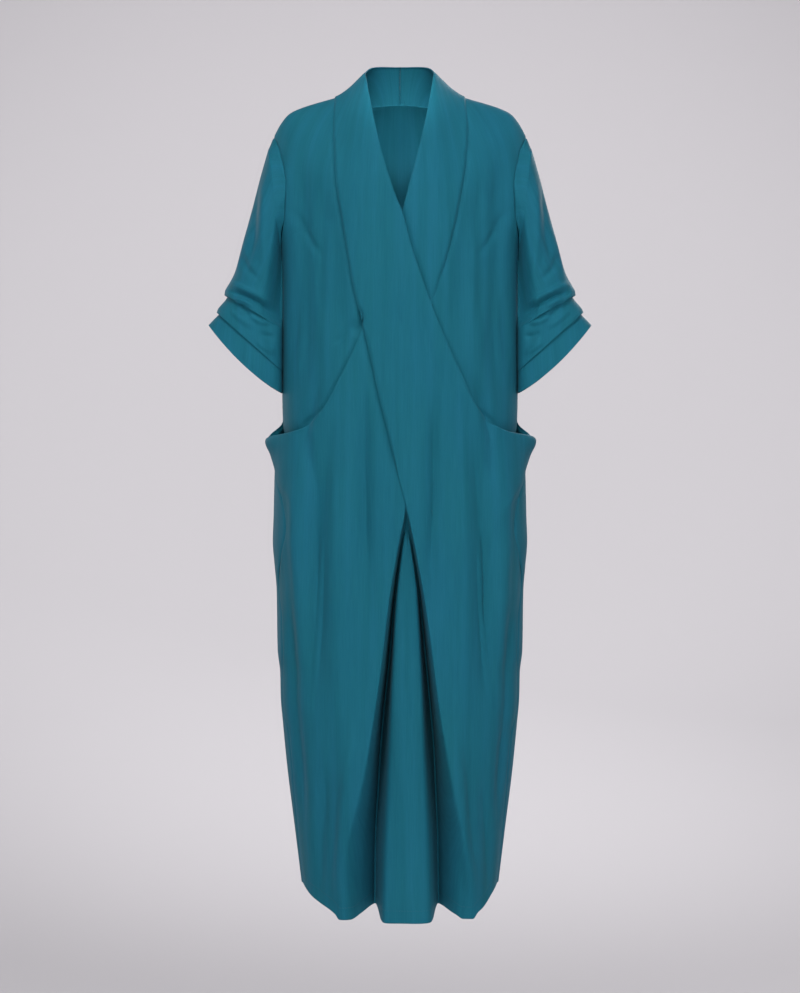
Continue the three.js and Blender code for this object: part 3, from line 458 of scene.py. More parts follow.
# ---------------------------------------------------------------- the two surfaces of the body
class BodyForm:
    """The surfaces that the panels lie on: a closed trunk above and a wider skirt below."""

    def __init__(self) -> None:
        """Reads the tables."""
        self.shoulder_line = SHOULDER_LINE.curve("x", "z")
        self.trunk_half, self.trunk_front, self.trunk_back = curves(
            TRUNK, "depth", "half", "front", "back"
        )
        self.skirt_half, self.skirt_front, self.skirt_back = curves(
            SKIRT, "z", "half", "front", "back"
        )
        self.tip_pull = TIP_PULL.curve("z", "out")
        self.seam_angle = SIDE_SEAM.curve("z", "angle")
        self.armhole_x = ARMHOLE.curve("depth", "x")

    @staticmethod
    def shoulder_share(depth: Array) -> Array:
        """How much of the shoulder line's slope is left at a depth."""
        return 1 - smooth((depth - ARMHOLE_DROP) / (SHOULDER_FADE - ARMHOLE_DROP))

    def ridge(self, x: Array, is_back: Array) -> Array:
        """Height of the shoulder line. The back's crosses the neck with a low rise, cos squared."""
        across = np.abs(x)
        turn = np.clip(across / COLLAR_SEAM_X, 0, 1) * math.pi / 2
        low = self.shoulder_line(np.array(COLLAR_SEAM_X)) + BACK_NECK_RISE * np.cos(turn) ** 2
        return np.where(is_back & (across < COLLAR_SEAM_X), low, self.shoulder_line(across))

    @staticmethod
    def rounding(depth: Array) -> Array:
        """A quarter circle from 0 on the shoulder line to 1 at the rounding's depth."""
        return np.sqrt(1 - (1 - np.clip(depth / SHOULDER_ROUND, 0, 1)) ** 2)

    @staticmethod
    def folds(table: Table, angle: Array, z: Array) -> Array:
        """Sum of bells round the body, each drifting and bending as it goes down.

        Args:
            table: the folds.
            angle: degrees from the centre front or back.
            z: heights.

        Returns:
            The distance to move outwards.
        """
        total = np.zeros(np.broadcast(angle, z).shape)
        for at, drift, bend, top, bottom, width, out in table.values:
            down = np.clip((z - top) / (bottom - top), 0, 1)
            line = at + drift * down + bend * np.sin(2 * math.pi * down)
            length = smooth(down * 4) * smooth((1 - down) * 3)
            total = total + out * length * bump((angle - line) / width)
        return total

    @staticmethod
    def section(angle: Array, half: Array, front: Array, back: Array) -> tuple[Array, Array]:
        """A rounded section: x = half sin^p, y = -depth cos^p, with its own depth at the back."""
        turn = np.radians(angle)
        s, c = np.sin(turn), np.cos(turn)
        return half * power(s), -power(c) * np.where(c > 0, front, back)

    @staticmethod
    def outwards(angle: Array) -> Array:
        """Level directions away from the middle of the body."""
        turn = np.radians(angle)
        return np.stack([np.sin(turn), -np.cos(turn), np.zeros_like(turn)], -1)

    def creases(self, angle: Array, x: Array, z: Array) -> Array:
        """The listed creases of the front and the back."""
        edge = smooth(np.abs(np.abs(angle) - 90) / 8)
        front, back = pressed(FRONT_CREASES, x, z), pressed(BACK_CREASES, x, z)
        return np.where(np.abs(angle) < 90, front, back) * edge

    def relief(self, front_folds: Table, angle: Array, x: Array, z: Array) -> Array:
        """All folds and creases at a place on the body."""
        side = np.abs(angle)
        behind = np.sign(angle) * (180 - side)
        round_front = self.folds(front_folds, side, z)
        round_back = self.folds(BACK_FOLDS, behind, z)
        return np.where(side <= 90, round_front, round_back) + self.creases(angle, x, z)

    def trunk(self, angle: Array, depth: Array) -> Array:
        """Points of the trunk.

        Args:
            angle: degrees from the centre front, negative on the wearer's right.
            depth: distance below the shoulder line.

        Returns:
            Points, with the last axis x, y, z.
        """
        angle, depth = np.broadcast_arrays(angle, depth)
        x, y = self.section(
            angle, self.trunk_half(depth), self.trunk_front(depth), self.trunk_back(depth)
        )
        z = self.ridge(x, np.abs(angle) > 90) * self.shoulder_share(depth) - depth
        points = np.stack([x, y * self.rounding(depth), z], -1)
        moved = self.relief(BODICE_FOLDS, angle, x, z) * smooth((depth - 20) / 100)
        return points + self.outwards(angle) * moved[..., None]

    def skirt(self, angle: Array, z: Array) -> Array:
        """Points of the skirt, with the pull of the pocket tips as a bell round each side."""
        angle, z = np.broadcast_arrays(angle, z)
        x, y = self.section(angle, self.skirt_half(z), self.skirt_front(z), self.skirt_back(z))
        pull = self.tip_pull(z) * bump((np.abs(angle) - 90) / 15)
        moved = pull + self.relief(SKIRT_FOLDS, angle, x, z)
        return np.stack([x, y, z], -1) + self.outwards(angle) * moved[..., None]

    def depth_at(self, angle: Array, z: Array) -> Array:
        """Depth of the trunk's point at a height, found by repeated substitution.

        Args:
            angle: degrees from the centre front.
            z: heights.

        Returns:
            The depths below the shoulder line.
        """
        depth = np.maximum(0, -z)
        for _ in range(10):
            x = self.trunk_half(depth) * power(np.sin(np.radians(angle)))
            high = self.ridge(x, np.abs(angle) > 90) * self.shoulder_share(depth)
            depth = np.maximum(0, high - z)
        return depth

    def angle_at(self, x: Array, z: Array) -> Array:
        """Angle of the front's point at x and a height."""
        depth = np.maximum(0, self.shoulder_line(np.abs(x)) * self.shoulder_share(-z) - z)
        half = np.where(z < -SHOULDER_FADE, self.skirt_half(z), self.trunk_half(depth))
        return np.degrees(np.arcsin(np.clip(root_power(x / half), -1, 1)))

    def wrap_surface(self, angle: Array, z: Array) -> Array:
        """What the wraps lie on: the trunk above, the skirt below and a blend between them."""
        share = smooth((-330 - z) / 100)[..., None]
        return mix(self.trunk(angle, self.depth_at(angle, z)), self.skirt(angle, z), share)

    def outward_normal(self, surface: Callable[[Array, Array], Array], angle: Array, z: Array) -> Array:
        """Unit normals of a surface of angle and height, from its points close by."""
        along = surface(angle + 0.5, z) - surface(angle - 0.5, z)
        up = surface(angle, z + 3) - surface(angle, z - 3)
        return unit(np.cross(along, up))

    def edge_angle(self, depth: Array) -> Array:
        """Angle of the armhole's edge, or of the side seam below it."""
        inside = self.armhole_x(depth) / self.trunk_half(depth)
        angle = np.degrees(np.arcsin(np.clip(root_power(inside), 0, 1)))
        return np.where(depth >= ARMHOLE_DROP, 90.0, angle)


# ---------------------------------------------------------------- sheets of cloth
@dataclass
class Sheet:
    """A grid of points on the middle of a piece of cloth."""

    points: Array
    is_tube: bool = False
    facing: int = 1  # -1 on the back

    def steps(self, axis: int) -> Array:
        """Differences between the neighbours of each point along an axis."""
        if axis == 1 and self.is_tube:
            return np.roll(self.points, -1, 1) - np.roll(self.points, 1, 1)
        return np.gradient(self.points, axis=axis)

    def normals(self) -> Array:
        """Unit normals that point away from the sheet's own hollow.

        Returns:
            One for each point.
        """
        across, down = self.steps(1), self.steps(0)
        normal = unit(np.cross(down, across))
        middle = self.points.mean(axis=1, keepdims=True) if self.is_tube else np.zeros((1, 1, 3))
        away = (self.points - middle)[..., :2]
        facing = (normal[..., :2] * away).sum()
        return normal if facing > 0 else -normal

    def raised(self, out: Array | float) -> "Sheet":
        """Moves each point along its normal."""
        out = np.broadcast_to(np.asarray(out, dtype=float), self.points.shape[:2])
        return Sheet(self.points + self.normals() * out[..., None], self.is_tube, self.facing)

    def distance(self, edge: Edge) -> Array:
        """Length along the cloth from an edge to each point.

        Args:
            edge: the edge that it starts from.

        Returns:
            The lengths, in the shape of the grid.
        """
        axis = 0 if edge in (Edge.TOP, Edge.BOTTOM) else 1
        step = np.linalg.norm(np.diff(self.points, axis=axis), axis=-1)
        zero = np.zeros_like(np.take(step, [0], axis=axis))
        run = np.cumsum(np.concatenate([zero, step], axis=axis), axis=axis)
        if edge in (Edge.TOP, Edge.FIRST):
            return run
        return np.take(run, [-1], axis=axis) - run

    def below(self, depth: float, fade: float) -> Array:
        """Share of each point, from 0 above a depth to 1 once the fade is passed."""
        return smooth((-self.points[..., 2] - depth) / fade)

    def pressed(self, creases: tuple[Crease, ...]) -> Array:
        """Height of creases at each point. Those of a tube are the same on both sides."""
        x = np.abs(self.points[..., 0]) if self.is_tube else self.points[..., 0]
        return pressed(creases, x, self.points[..., 2])

    def seam(
        self, edge: Edge, deep: float = 0.9, width: float = 2.2, where: Array | float = 1.0
    ) -> "Sheet":
        """Turns an edge in, as cloth rolls into a seam: the depth is a bell of the distance to it.

        Args:
            edge: the edge.
            deep: how far the edge turns in.
            width: how far from it the turn starts.
            where: a share for each point, to leave out some of the edge.

        Returns:
            The new sheet.
        """
        return self.raised(-deep * bump(self.distance(edge) / width) * where)

    def weave(self) -> tuple[Array, Array]:
        """Lengths across and along the cloth, for the weave.

        The panels of the body hang with their grain straight down, so across is an arc round a line
        behind them and along is the height. A tube's grain runs down the tube.

        Returns:
            Both lengths for every point, with a first column again at the end of a tube.
        """
        points = self.points
        if not self.is_tube:
            x, y, z = np.moveaxis(points, -1, 0)
            return 215 * np.arctan2(x, 90 - self.facing * y), z
        points = np.concatenate([points, points[:, :1]], axis=1)
        across = np.linalg.norm(np.diff(points, axis=1), axis=-1)
        down = np.linalg.norm(np.diff(points, axis=0), axis=-1)
        u = np.concatenate([np.zeros((len(points), 1)), np.cumsum(across, axis=1)], axis=1)
        run = np.concatenate([[0.0], np.cumsum(down.mean(axis=1))])
        middle = u[:, [u.shape[1] // 2]]
        return u - middle, np.broadcast_to(run[:, None], u.shape)


def mesh_object(name: str, vertices: Array, quads: Array, uv: Array | None = None) -> bpy.types.Object:
    """Makes a mesh object of quads from arrays.

    Args:
        name: the object's name.
        vertices: points in millimetres.
        quads: four indices for each face.
        uv: a place in millimetres for each corner of each face.

    Returns:
        The object, linked to the scene, with its faces turned outwards.
    """
    corners = vertices[quads]
    normal = np.cross(corners[:, 2] - corners[:, 0], corners[:, 3] - corners[:, 1])
    if (normal * corners.mean(axis=1)).sum() < 0:
        quads = quads[:, ::-1]
        uv = None if uv is None else uv[:, ::-1]
    mesh = bpy.data.meshes.new(name)
    mesh.vertices.add(len(vertices))
    mesh.vertices.foreach_set("co", (vertices * MM).astype(np.float32).ravel())
    mesh.loops.add(quads.size)
    mesh.loops.foreach_set("vertex_index", quads.astype(np.int32).ravel())
    mesh.polygons.add(len(quads))
    mesh.polygons.foreach_set("loop_start", np.arange(0, quads.size, 4, dtype=np.int32))
    mesh.update(calc_edges=True)
    if uv is not None:
        layer = mesh.uv_layers.new(name="Weave")
        layer.data.foreach_set("uv", (uv * MM).astype(np.float32).ravel())
    mesh.validate()
    mesh.shade_smooth()
    made = bpy.data.objects.new(name, mesh)
    bpy.context.collection.objects.link(made)
    return made


def wall(name: str, sheet: Sheet, thickness: Array | float) -> bpy.types.Object:
    """Gives a sheet its thickness: the middle points moved half of it each way, with joined rims.

    Args:
        name: the object's name.
        sheet: the middle of the cloth.
        thickness: of the cloth, in millimetres, for each point or for all.

    Returns:
        The closed wall.
    """
    height, width = sheet.points.shape[:2]
    thick = np.array(np.broadcast_to(np.asarray(thickness, dtype=float), (height, width)))
    rims = [(0, 0.3), (1, 0.85), (-1, 0.3), (-2, 0.85)]
    for index, share in rims:
        thick[index] *= share
        if not sheet.is_tube:
            thick[:, index] *= share
    out = sheet.normals() * thick[..., None] / 2
    vertices = np.concatenate([(sheet.points + out).reshape(-1, 3), (sheet.points - out).reshape(-1, 3)])
    index = np.arange(height * width).reshape(height, width)
    if sheet.is_tube:
        index = np.concatenate([index, index[:, :1]], axis=1)
    u, v = sheet.weave()
    place = np.stack([u, v], -1)

    def corners(values: Array) -> Array:
        """Reads a grid at the four corners of every face."""
        return np.stack([values[:-1, :-1], values[1:, :-1], values[1:, 1:], values[:-1, 1:]], axis=2)

    face = corners(index).reshape(-1, 4)
    spot = corners(place).reshape(-1, 4, 2)
    inner = height * width
    faces, spots = [face, face[:, ::-1] + inner], [spot, spot[:, ::-1]]

    def rim(line: Array, places: Array, turned: bool) -> None:
        """Closes one edge between the two sides."""
        strip = np.stack([line[:-1], line[1:], line[1:] + inner, line[:-1] + inner], -1)
        where = np.stack([places[:-1], places[1:], places[1:], places[:-1]], 1)
        faces.append(strip[:, ::-1] if turned else strip)
        spots.append(where[:, ::-1] if turned else where)

    rim(index[0], place[0], False)
    rim(index[-1], place[-1], True)
    if not sheet.is_tube:
        rim(index[:, 0], place[:, 0], True)
        rim(index[:, -1], place[:, -1], False)
    return mesh_object(name, vertices, np.concatenate(faces), np.concatenate(spots))


def threads(name: str, starts: Array, ends: Array, outward: Array, radius: float) -> bpy.types.Object:
    """Small stitches, each a four-sided thread with pointed ends that arches off the cloth.

    Args:
        name: the object's name.
        starts: where each stitch leaves the cloth.
        ends: where it goes back in.
        outward: the cloth's normal at each.
        radius: of the thread.

    Returns:
        One mesh of them all.
    """
    way = unit(ends - starts)
    side = unit(np.cross(way, outward))
    along = np.array([0.0, 0.22, 0.78, 1.0])
    thick = np.array([0.35, 1.0, 1.0, 0.35]) * radius
    high = np.array([-0.4, 1.0, 1.0, -0.4]) * radius
    turn = np.radians([45, 135, 225, 315])
    middle = starts[:, None] + (ends - starts)[:, None] * along[None, :, None]
    middle = middle + outward[:, None] * high[None, :, None]
    ring = (
        side[:, None, None] * np.cos(turn)[None, None, :, None]
        + outward[:, None, None] * np.sin(turn)[None, None, :, None]
    )
    points = middle[:, :, None] + ring * thick[None, :, None, None]
    count = len(starts)
    base = np.arange(count)[:, None, None] * 16
    level = np.arange(3)[None, :, None] * 4
    around = np.arange(4)[None, None, :]
    following = (around + 1) % 4
    near, far = base + level, base + level + 4
    sides = np.stack([near + around, near + following, far + following, far + around], -1)
    sides = sides.reshape(-1, 4)
    first = (np.arange(count)[:, None] * 16 + np.array([3, 2, 1, 0])[None]).reshape(-1, 4)
    last = (np.arange(count)[:, None] * 16 + np.array([12, 13, 14, 15])[None]).reshape(-1, 4)
    return mesh_object(name, points.reshape(-1, 3), np.concatenate([sides, first, last]))


def row_of_stitches(sheet: Sheet, row: Array, pitch: float, length: float) -> tuple[Array, Array, Array]:
    """Places stitches at even steps along a line of points of a sheet.

    Args:
        sheet: the cloth, whose normals the stitches lie on.
        row: for each column, how far down the rows the line lies, as a row number with a fraction.
        pitch: from one stitch to the next.
        length: of a stitch.

    Returns:
        Starts, ends and outward directions.
    """
    low = np.clip(row.astype(int), 0, len(sheet.points) - 2)
    part = (row - low)[:, None]
    column = np.arange(sheet.points.shape[1])
    line = mix(sheet.points[low, column], sheet.points[low + 1, column], part)
    normal = sheet.normals()[low, column]
    run = np.concatenate([[0.0], np.cumsum(np.linalg.norm(np.diff(line, axis=0), axis=1))])
    at = np.arange(pitch, run[-1] - pitch, pitch)

    def read(values: Array, where: Array) -> Array:
        """Reads points or directions at lengths along the line."""
        return np.stack([np.interp(where, run, values[:, axis]) for axis in range(3)], -1)

    return read(line, at), read(line, at + length), unit(read(normal, at + length / 2))


# ---------------------------------------------------------------- finishes
@dataclass(frozen=True)
class ClothFinish:
    """A soft matt weave with slubs along the grain, long streaks of colour and shallow crumples."""

    name: str
    deep: tuple[float, float, float]
    green: tuple[float, float, float]
    blue: tuple[float, float, float]
    light: tuple[float, float, float]
    roughness: float = 0.6
    sheen: float = 0.03
    pitch: float = 0.0009  # of the twill lines, in metres
    crumple: float = 0.0012  # height of the crumples, in metres

    def material(self) -> bpy.types.Material:
        """Builds the node tree.

        Returns:
            The material, whose patterns follow the weave map.
        """
        made = bpy.data.materials.new(self.name)
        made.use_nodes = True
        tree = made.node_tree
        shader = tree.nodes["Principled BSDF"]
        shader.inputs["Roughness"].default_value = self.roughness
        shader.inputs["Specular IOR Level"].default_value = 0.08
        shader.inputs["Specular Tint"].default_value = (0.45, 0.85, 1.0, 1)
        shader.inputs["Sheen Weight"].default_value = self.sheen
        shader.inputs["Sheen Roughness"].default_value = 0.45
        shader.inputs["Sheen Tint"].default_value = (0.55, 0.8, 0.9, 1)
        grain = self.node("ShaderNodeUVMap", tree)
        grain.uv_map = "Weave"
        weave = grain.outputs["UV"]
        slub = self.noise(tree, weave, (1100, 22, 1), 1.0, 3)
        streak = self.noise(tree, weave, (62, 2.2, 1), 1.0, 3)
        cloud = self.noise(tree, weave, (8, 5, 1), 1.0, 2)
        soft = self.noise(tree, weave, (46, 9, 1), 1.0, 4)
        tone = self.math(tree, "ADD", self.scaled(tree, slub, 0.5), self.scaled(tree, streak, 0.5))
        shade = self.ramp(tree, tone, (0.34, self.deep), (0.5, self.green), (0.66, self.light))
        hue = self.math(tree, "ADD", self.scaled(tree, streak, 0.6), self.scaled(tree, cloud, 0.4))
        tint = self.ramp(tree, hue, (0.38, self.green), (0.62, self.blue))
        blend = self.node("ShaderNodeMix", tree)
        blend.data_type, blend.blend_type = "RGBA", "MIX"
        blend.inputs[0].default_value = 0.5
        tree.links.new(shade, blend.inputs[6])
        tree.links.new(tint, blend.inputs[7])
        tree.links.new(blend.outputs[2], shader.inputs["Base Color"])
        twill = self.node("ShaderNodeTexWave", tree)
        twill.wave_type, twill.bands_direction = "BANDS", "DIAGONAL"
        twill.inputs["Scale"].default_value = 1.0
        twill.inputs["Distortion"].default_value = 0.6
        lines = 1 / (self.pitch * 20)
        tree.links.new(self.mapped(tree, weave, (lines * 6.3, lines * 6.3, 0)), twill.inputs["Vector"])
        near = self.bumped(tree, twill.outputs["Fac"], 0.00006, None)
        slubs = self.bumped(tree, slub, 0.00016, near)
        crumpled = self.bumped(tree, soft, self.crumple, slubs)
        tree.links.new(crumpled, shader.inputs["Normal"])
        return made

    def ramp(
        self, tree: Tree, value: Socket, *stops: tuple[float, tuple]
    ) -> Socket:
        """Turns a value into a colour.

        Args:
            tree: the node tree.
            value: the value.
            stops: positions with their colours.

        Returns:
            The colour's socket.
        """
        made = self.node("ShaderNodeValToRGB", tree)
        tree.links.new(value, made.inputs["Fac"])
        elements = made.color_ramp.elements
        for at, _ in stops[2:]:
            elements.new(at)
        for element, (at, colour) in zip(elements, stops):
            element.position, element.color = at, (*colour, 1)
        return made.outputs["Color"]

    @staticmethod
    def node(kind: str, tree: Tree) -> bpy.types.Node:
        """Adds a node."""
        return tree.nodes.new(kind)

    def mapped(self, tree: Tree, vector: Socket, scale: tuple) -> Socket:
        """Scales a vector."""
        mapping = self.node("ShaderNodeMapping", tree)
        mapping.inputs["Scale"].default_value = scale
        tree.links.new(vector, mapping.inputs["Vector"])
        return mapping.outputs["Vector"]

    def noise(self, tree: Tree, vector: Socket, scale: tuple, size: float, detail: float) -> Socket:
        """A noise stretched by its scale along each way of the cloth.

        Args:
            tree: the material's nodes.
            vector: place on the cloth.
            scale: factors along its ways.
            size: scale of the noise.
            detail: how many finer layers it has.

        Returns:
            The noise, around 0.5.
        """
        made = self.node("ShaderNodeTexNoise", tree)
        made.inputs["Scale"].default_value = size
        made.inputs["Detail"].default_value = detail
        tree.links.new(self.mapped(tree, vector, scale), made.inputs["Vector"])
        return made.outputs["Fac"]

    def math(self, tree: Tree, kind: str, a: Socket, b: object) -> Socket:
        """Joins two values, or a value and a number.

        Args:
            tree: the material's nodes.
            kind: the operation's name.
            a: the first value.
            b: the second value, or a number.

        Returns:
            The result.
        """
        made = self.node("ShaderNodeMath", tree)
        made.operation = kind
        tree.links.new(a, made.inputs[0])
        if isinstance(b, float):
            made.inputs[1].default_value = b
        else:
            tree.links.new(b, made.inputs[1])
        return made.outputs[0]

    def scaled(self, tree: Tree, value: Socket, by: float) -> Socket:
        """Multiplies a value by a number."""
        return self.math(tree, "MULTIPLY", value, by)

    def bumped(self, tree: Tree, height: Socket, distance: float, normal: object) -> Socket:
        """Tilts the normal by a height field of a real height.

        Args:
            tree: the material's nodes.
            height: the field.
            distance: its height, in metres.
            normal: the normal that it tilts, or None for the surface's own.

        Returns:
            The tilted normal.
        """
        made = self.node("ShaderNodeBump", tree)
        made.inputs["Strength"].default_value = 1.0
        made.inputs["Distance"].default_value = distance
        tree.links.new(height, made.inputs["Height"])
        if normal is not None:
            tree.links.new(normal, made.inputs["Normal"])
        return made.outputs["Normal"]


TEAL = ClothFinish(
    name="teal_cloth",
    deep=(0.0065, 0.088, 0.140),
    green=(0.0108, 0.124, 0.168),
    blue=(0.0108, 0.118, 0.196),
    light=(0.0160, 0.150, 0.206),
)


@dataclass(frozen=True)
class ThreadFinish:
    """Sewing thread of the cloth's colour, a little deeper."""

    name: str = "teal_thread"
    colour: tuple[float, float, float] = (0.010, 0.092, 0.14)

    def material(self) -> bpy.types.Material:
        """Builds a fine twist across object space over the plain colour.

        Returns:
            The material.
        """
        made = bpy.data.materials.new(self.name)
        made.use_nodes = True
        tree = made.node_tree
        shader = tree.nodes["Principled BSDF"]
        shader.inputs["Roughness"].default_value = 0.5
        place = tree.nodes.new("ShaderNodeTexCoord")
        noise = tree.nodes.new("ShaderNodeTexNoise")
        noise.inputs["Scale"].default_value = 700.0
        tree.links.new(place.outputs["Object"], noise.inputs["Vector"])
        ramp = tree.nodes.new("ShaderNodeValToRGB")
        tree.links.new(noise.outputs["Fac"], ramp.inputs["Fac"])
        ramp.color_ramp.elements[0].color = (*(0.85 * c for c in self.colour), 1)
        ramp.color_ramp.elements[1].color = (*(1.2 * c for c in self.colour), 1)
        tree.links.new(ramp.outputs["Color"], shader.inputs["Base Color"])
        return made


# ---------------------------------------------------------------- the pieces
@dataclass(frozen=True)
class Cut:
    """The flat cut of what shows of a piece, in metres."""

    width: float
    length: float
    area: float


@dataclass(kw_only=True)
class Piece:
    """A cut piece of cloth that stands for its solid.

    Attributes:
        form: the body's surfaces.
        name: the main solid's name.
        cut: its flat cut.
        parted: names of the solids that were parted from the main one.
    """

    form: BodyForm
    name: str
    cut: Cut
    parted: tuple[str, ...] = ()

    def shape(self) -> Sheet:
        """The middle of the cloth."""
        raise NotImplementedError

    @cached_property
    def sheet(self) -> Sheet:
        """The middle of the cloth, worked out once."""
        return self.shape()

    def thickness(self) -> Array | float:
        """Thickness of the cloth, in millimetres."""
        return CLOTH

    def build(self, material: bpy.types.Material) -> bpy.types.Object:
        """Args:
            material: its finish.

        Returns:
            The object.
        """
        made = wall(f"{self.name}_cloth", self.sheet, self.thickness())
        made.data.materials.append(material)
        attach(made, "root")
        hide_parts(self.name, *self.parted)
        LOG.info("%s: %d faces", made.name, len(made.data.polygons))
        return made


def neckline_depth(x: Array) -> Array:
    """Depth of the back neckline: a point turned down the shoulder's rounding, most in the middle.

    Args:
        x: positions across.

    Returns:
        The depths below the shoulder line.
    """
    across = np.clip(np.abs(x) / COLLAR_SEAM_X, 0, 1)
    turn = np.radians(41) * (1 - across**2) ** 0.6
    return SHOULDER_ROUND * (1 - np.cos(turn))


@dataclass(kw_only=True)
class Back(Piece):
    """The back, from the neckline to the hem, which wraps forward to the side seams."""

    name: str = "back"
    cut: Cut = Cut(0.66, 1.26, 0.615)
    parted: tuple[str, ...] = ("back_shoulder_right", "back_shoulder_left")
    columns: int = 58  # on each half
    bodice_rows: int = 160
    skirt_rows: int = 180
    tip_fold: float = 0.88  # how flat the cloth lies inside the pocket's tip

    def across(self) -> Array:
        """Places of the columns, from -1 at the right edge over 0 at the centre back to 1."""
        half = stations(self.columns, 330)
        return np.unique(np.round(np.concatenate([-half[::-1], half[1:]]), 7))[None]

    def bodice(self) -> Array:
        """Points from the neckline down over the armholes and the sides.

        Returns:
            The points of the upper rows.
        """
        form, across = self.form, self.across()
        depth = (stations(self.bodice_rows, 500) * BODICE_END)[:, None]
        from_centre = np.abs(across) * form.edge_angle(depth)
        angle = np.where(across < 0, -1, 1) * (180 - from_centre)
        shoulder_x = form.trunk_half(np.zeros(1)) * power(np.sin(np.radians(from_centre)))
        start = neckline_depth(shoulder_x)
        squeezed = start + depth * (ARMHOLE_DROP - start) / ARMHOLE_DROP
        return form.trunk(angle, np.where(depth < ARMHOLE_DROP, squeezed, depth))

    def skirt(self) -> Array:
        """Points from the bodice to the hem, which drops towards the centre back.

        Inside the pocket's tip the cloth folds forward, so that its inside faces the front.

        Returns:
            The points of the lower rows.
        """
        form, across = self.form, self.across()
        z = np.linspace(-BODICE_END, SIDE_HEM, self.skirt_rows)[1:]
        z = np.concatenate([z[:-1], z[-1] + np.array([0.8, 0.25, 0])])[:, None]
        seam = np.where(z > POCKET_TIP, 90.0, form.seam_angle(z))
        from_centre = np.abs(across) * (180 - seam - SEAM_GAP)
        angle = np.where(across < 0, -1, 1) * (180 - from_centre)
        drop = (BACK_HEM - SIDE_HEM) * smooth((-z - 900) / 313)
        height = z + drop * np.cos(np.radians(np.minimum(from_centre, 90)))
        share = smooth((-BODICE_END - z) / 22)[..., None]
        points = mix(form.trunk(angle, -height), form.skirt(angle, height), share)
        at_tip = bump((z + 524) / 54) * smooth((from_centre - 60) / 18)
        points[..., 1] *= np.where(points[..., 1] > 0, 1 - self.tip_fold * at_tip, 1.0)
        return points

    def shape(self) -> Sheet:
        """Rows go down and columns from the wearer's right side round the back to the left one.

        Returns:
            The sheet.
        """
        sheet = Sheet(np.concatenate([self.bodice(), self.skirt()]), facing=-1)
        sewn, arm = sheet.below(SEWN_DEPTH, 20), 1 - sheet.below(ARM_SEAM_DEPTH, 20)
        for share in (sewn, arm):
            sheet = sheet.seam(Edge.FIRST, where=share).seam(Edge.LAST, where=share)
        return sheet


@dataclass(kw_only=True)
class SideFront(Piece):
    """A side of the chest, which runs on down as the back of the pocket."""

    side: Side
    name: str = "side_front"
    cut: Cut = Cut(0.2, 0.77, 0.13)
    behind: float = 3.2  # the pocket's back lies this far inside the skirt

    def __post_init__(self) -> None:
        """Adds the side to the name."""
        self.name = f"{self.name}_{self.side.name.lower()}"

    def shape(self) -> Sheet:
        """Rows go down and columns from under the collar to the armhole and the side.

        Returns:
            The sheet.
        """
        form = self.form
        depth = (stations(280, 760) * POCKET_BOTTOM)[:, None]
        inner_x = SIDE_FRONT_EDGE.curve("depth", "x")(depth)
        first = np.degrees(np.arcsin(root_power(inner_x / form.trunk_half(depth))))
        last = form.edge_angle(depth) - np.where(depth >= ARMHOLE_DROP, SEAM_GAP, 0)
        angle = self.side.value * mix(first, last, stations(72, 120)[None])
        points = form.trunk(angle, depth)
        falls_in = smooth((depth - 515) / 45) * (1 - smooth((depth - 670) / 70))
        hollow = POCKET_HOLLOW * falls_in * bump((90 - np.abs(angle)) / 16)
        points = points - form.outwards(angle) * hollow[..., None]
        inside = form.skirt(angle, -depth)
        inside = inside - self.behind * form.outward_normal(form.skirt, angle, -depth)
        points = mix(points, inside, smooth((depth - 640) / 110)[..., None])
        sheet = Sheet(points)
        arm = 1 - sheet.below(ARM_SEAM_DEPTH, 20)
        return sheet.raised(sheet.pressed(SIDE_GROOVES)).seam(Edge.LAST, where=arm)


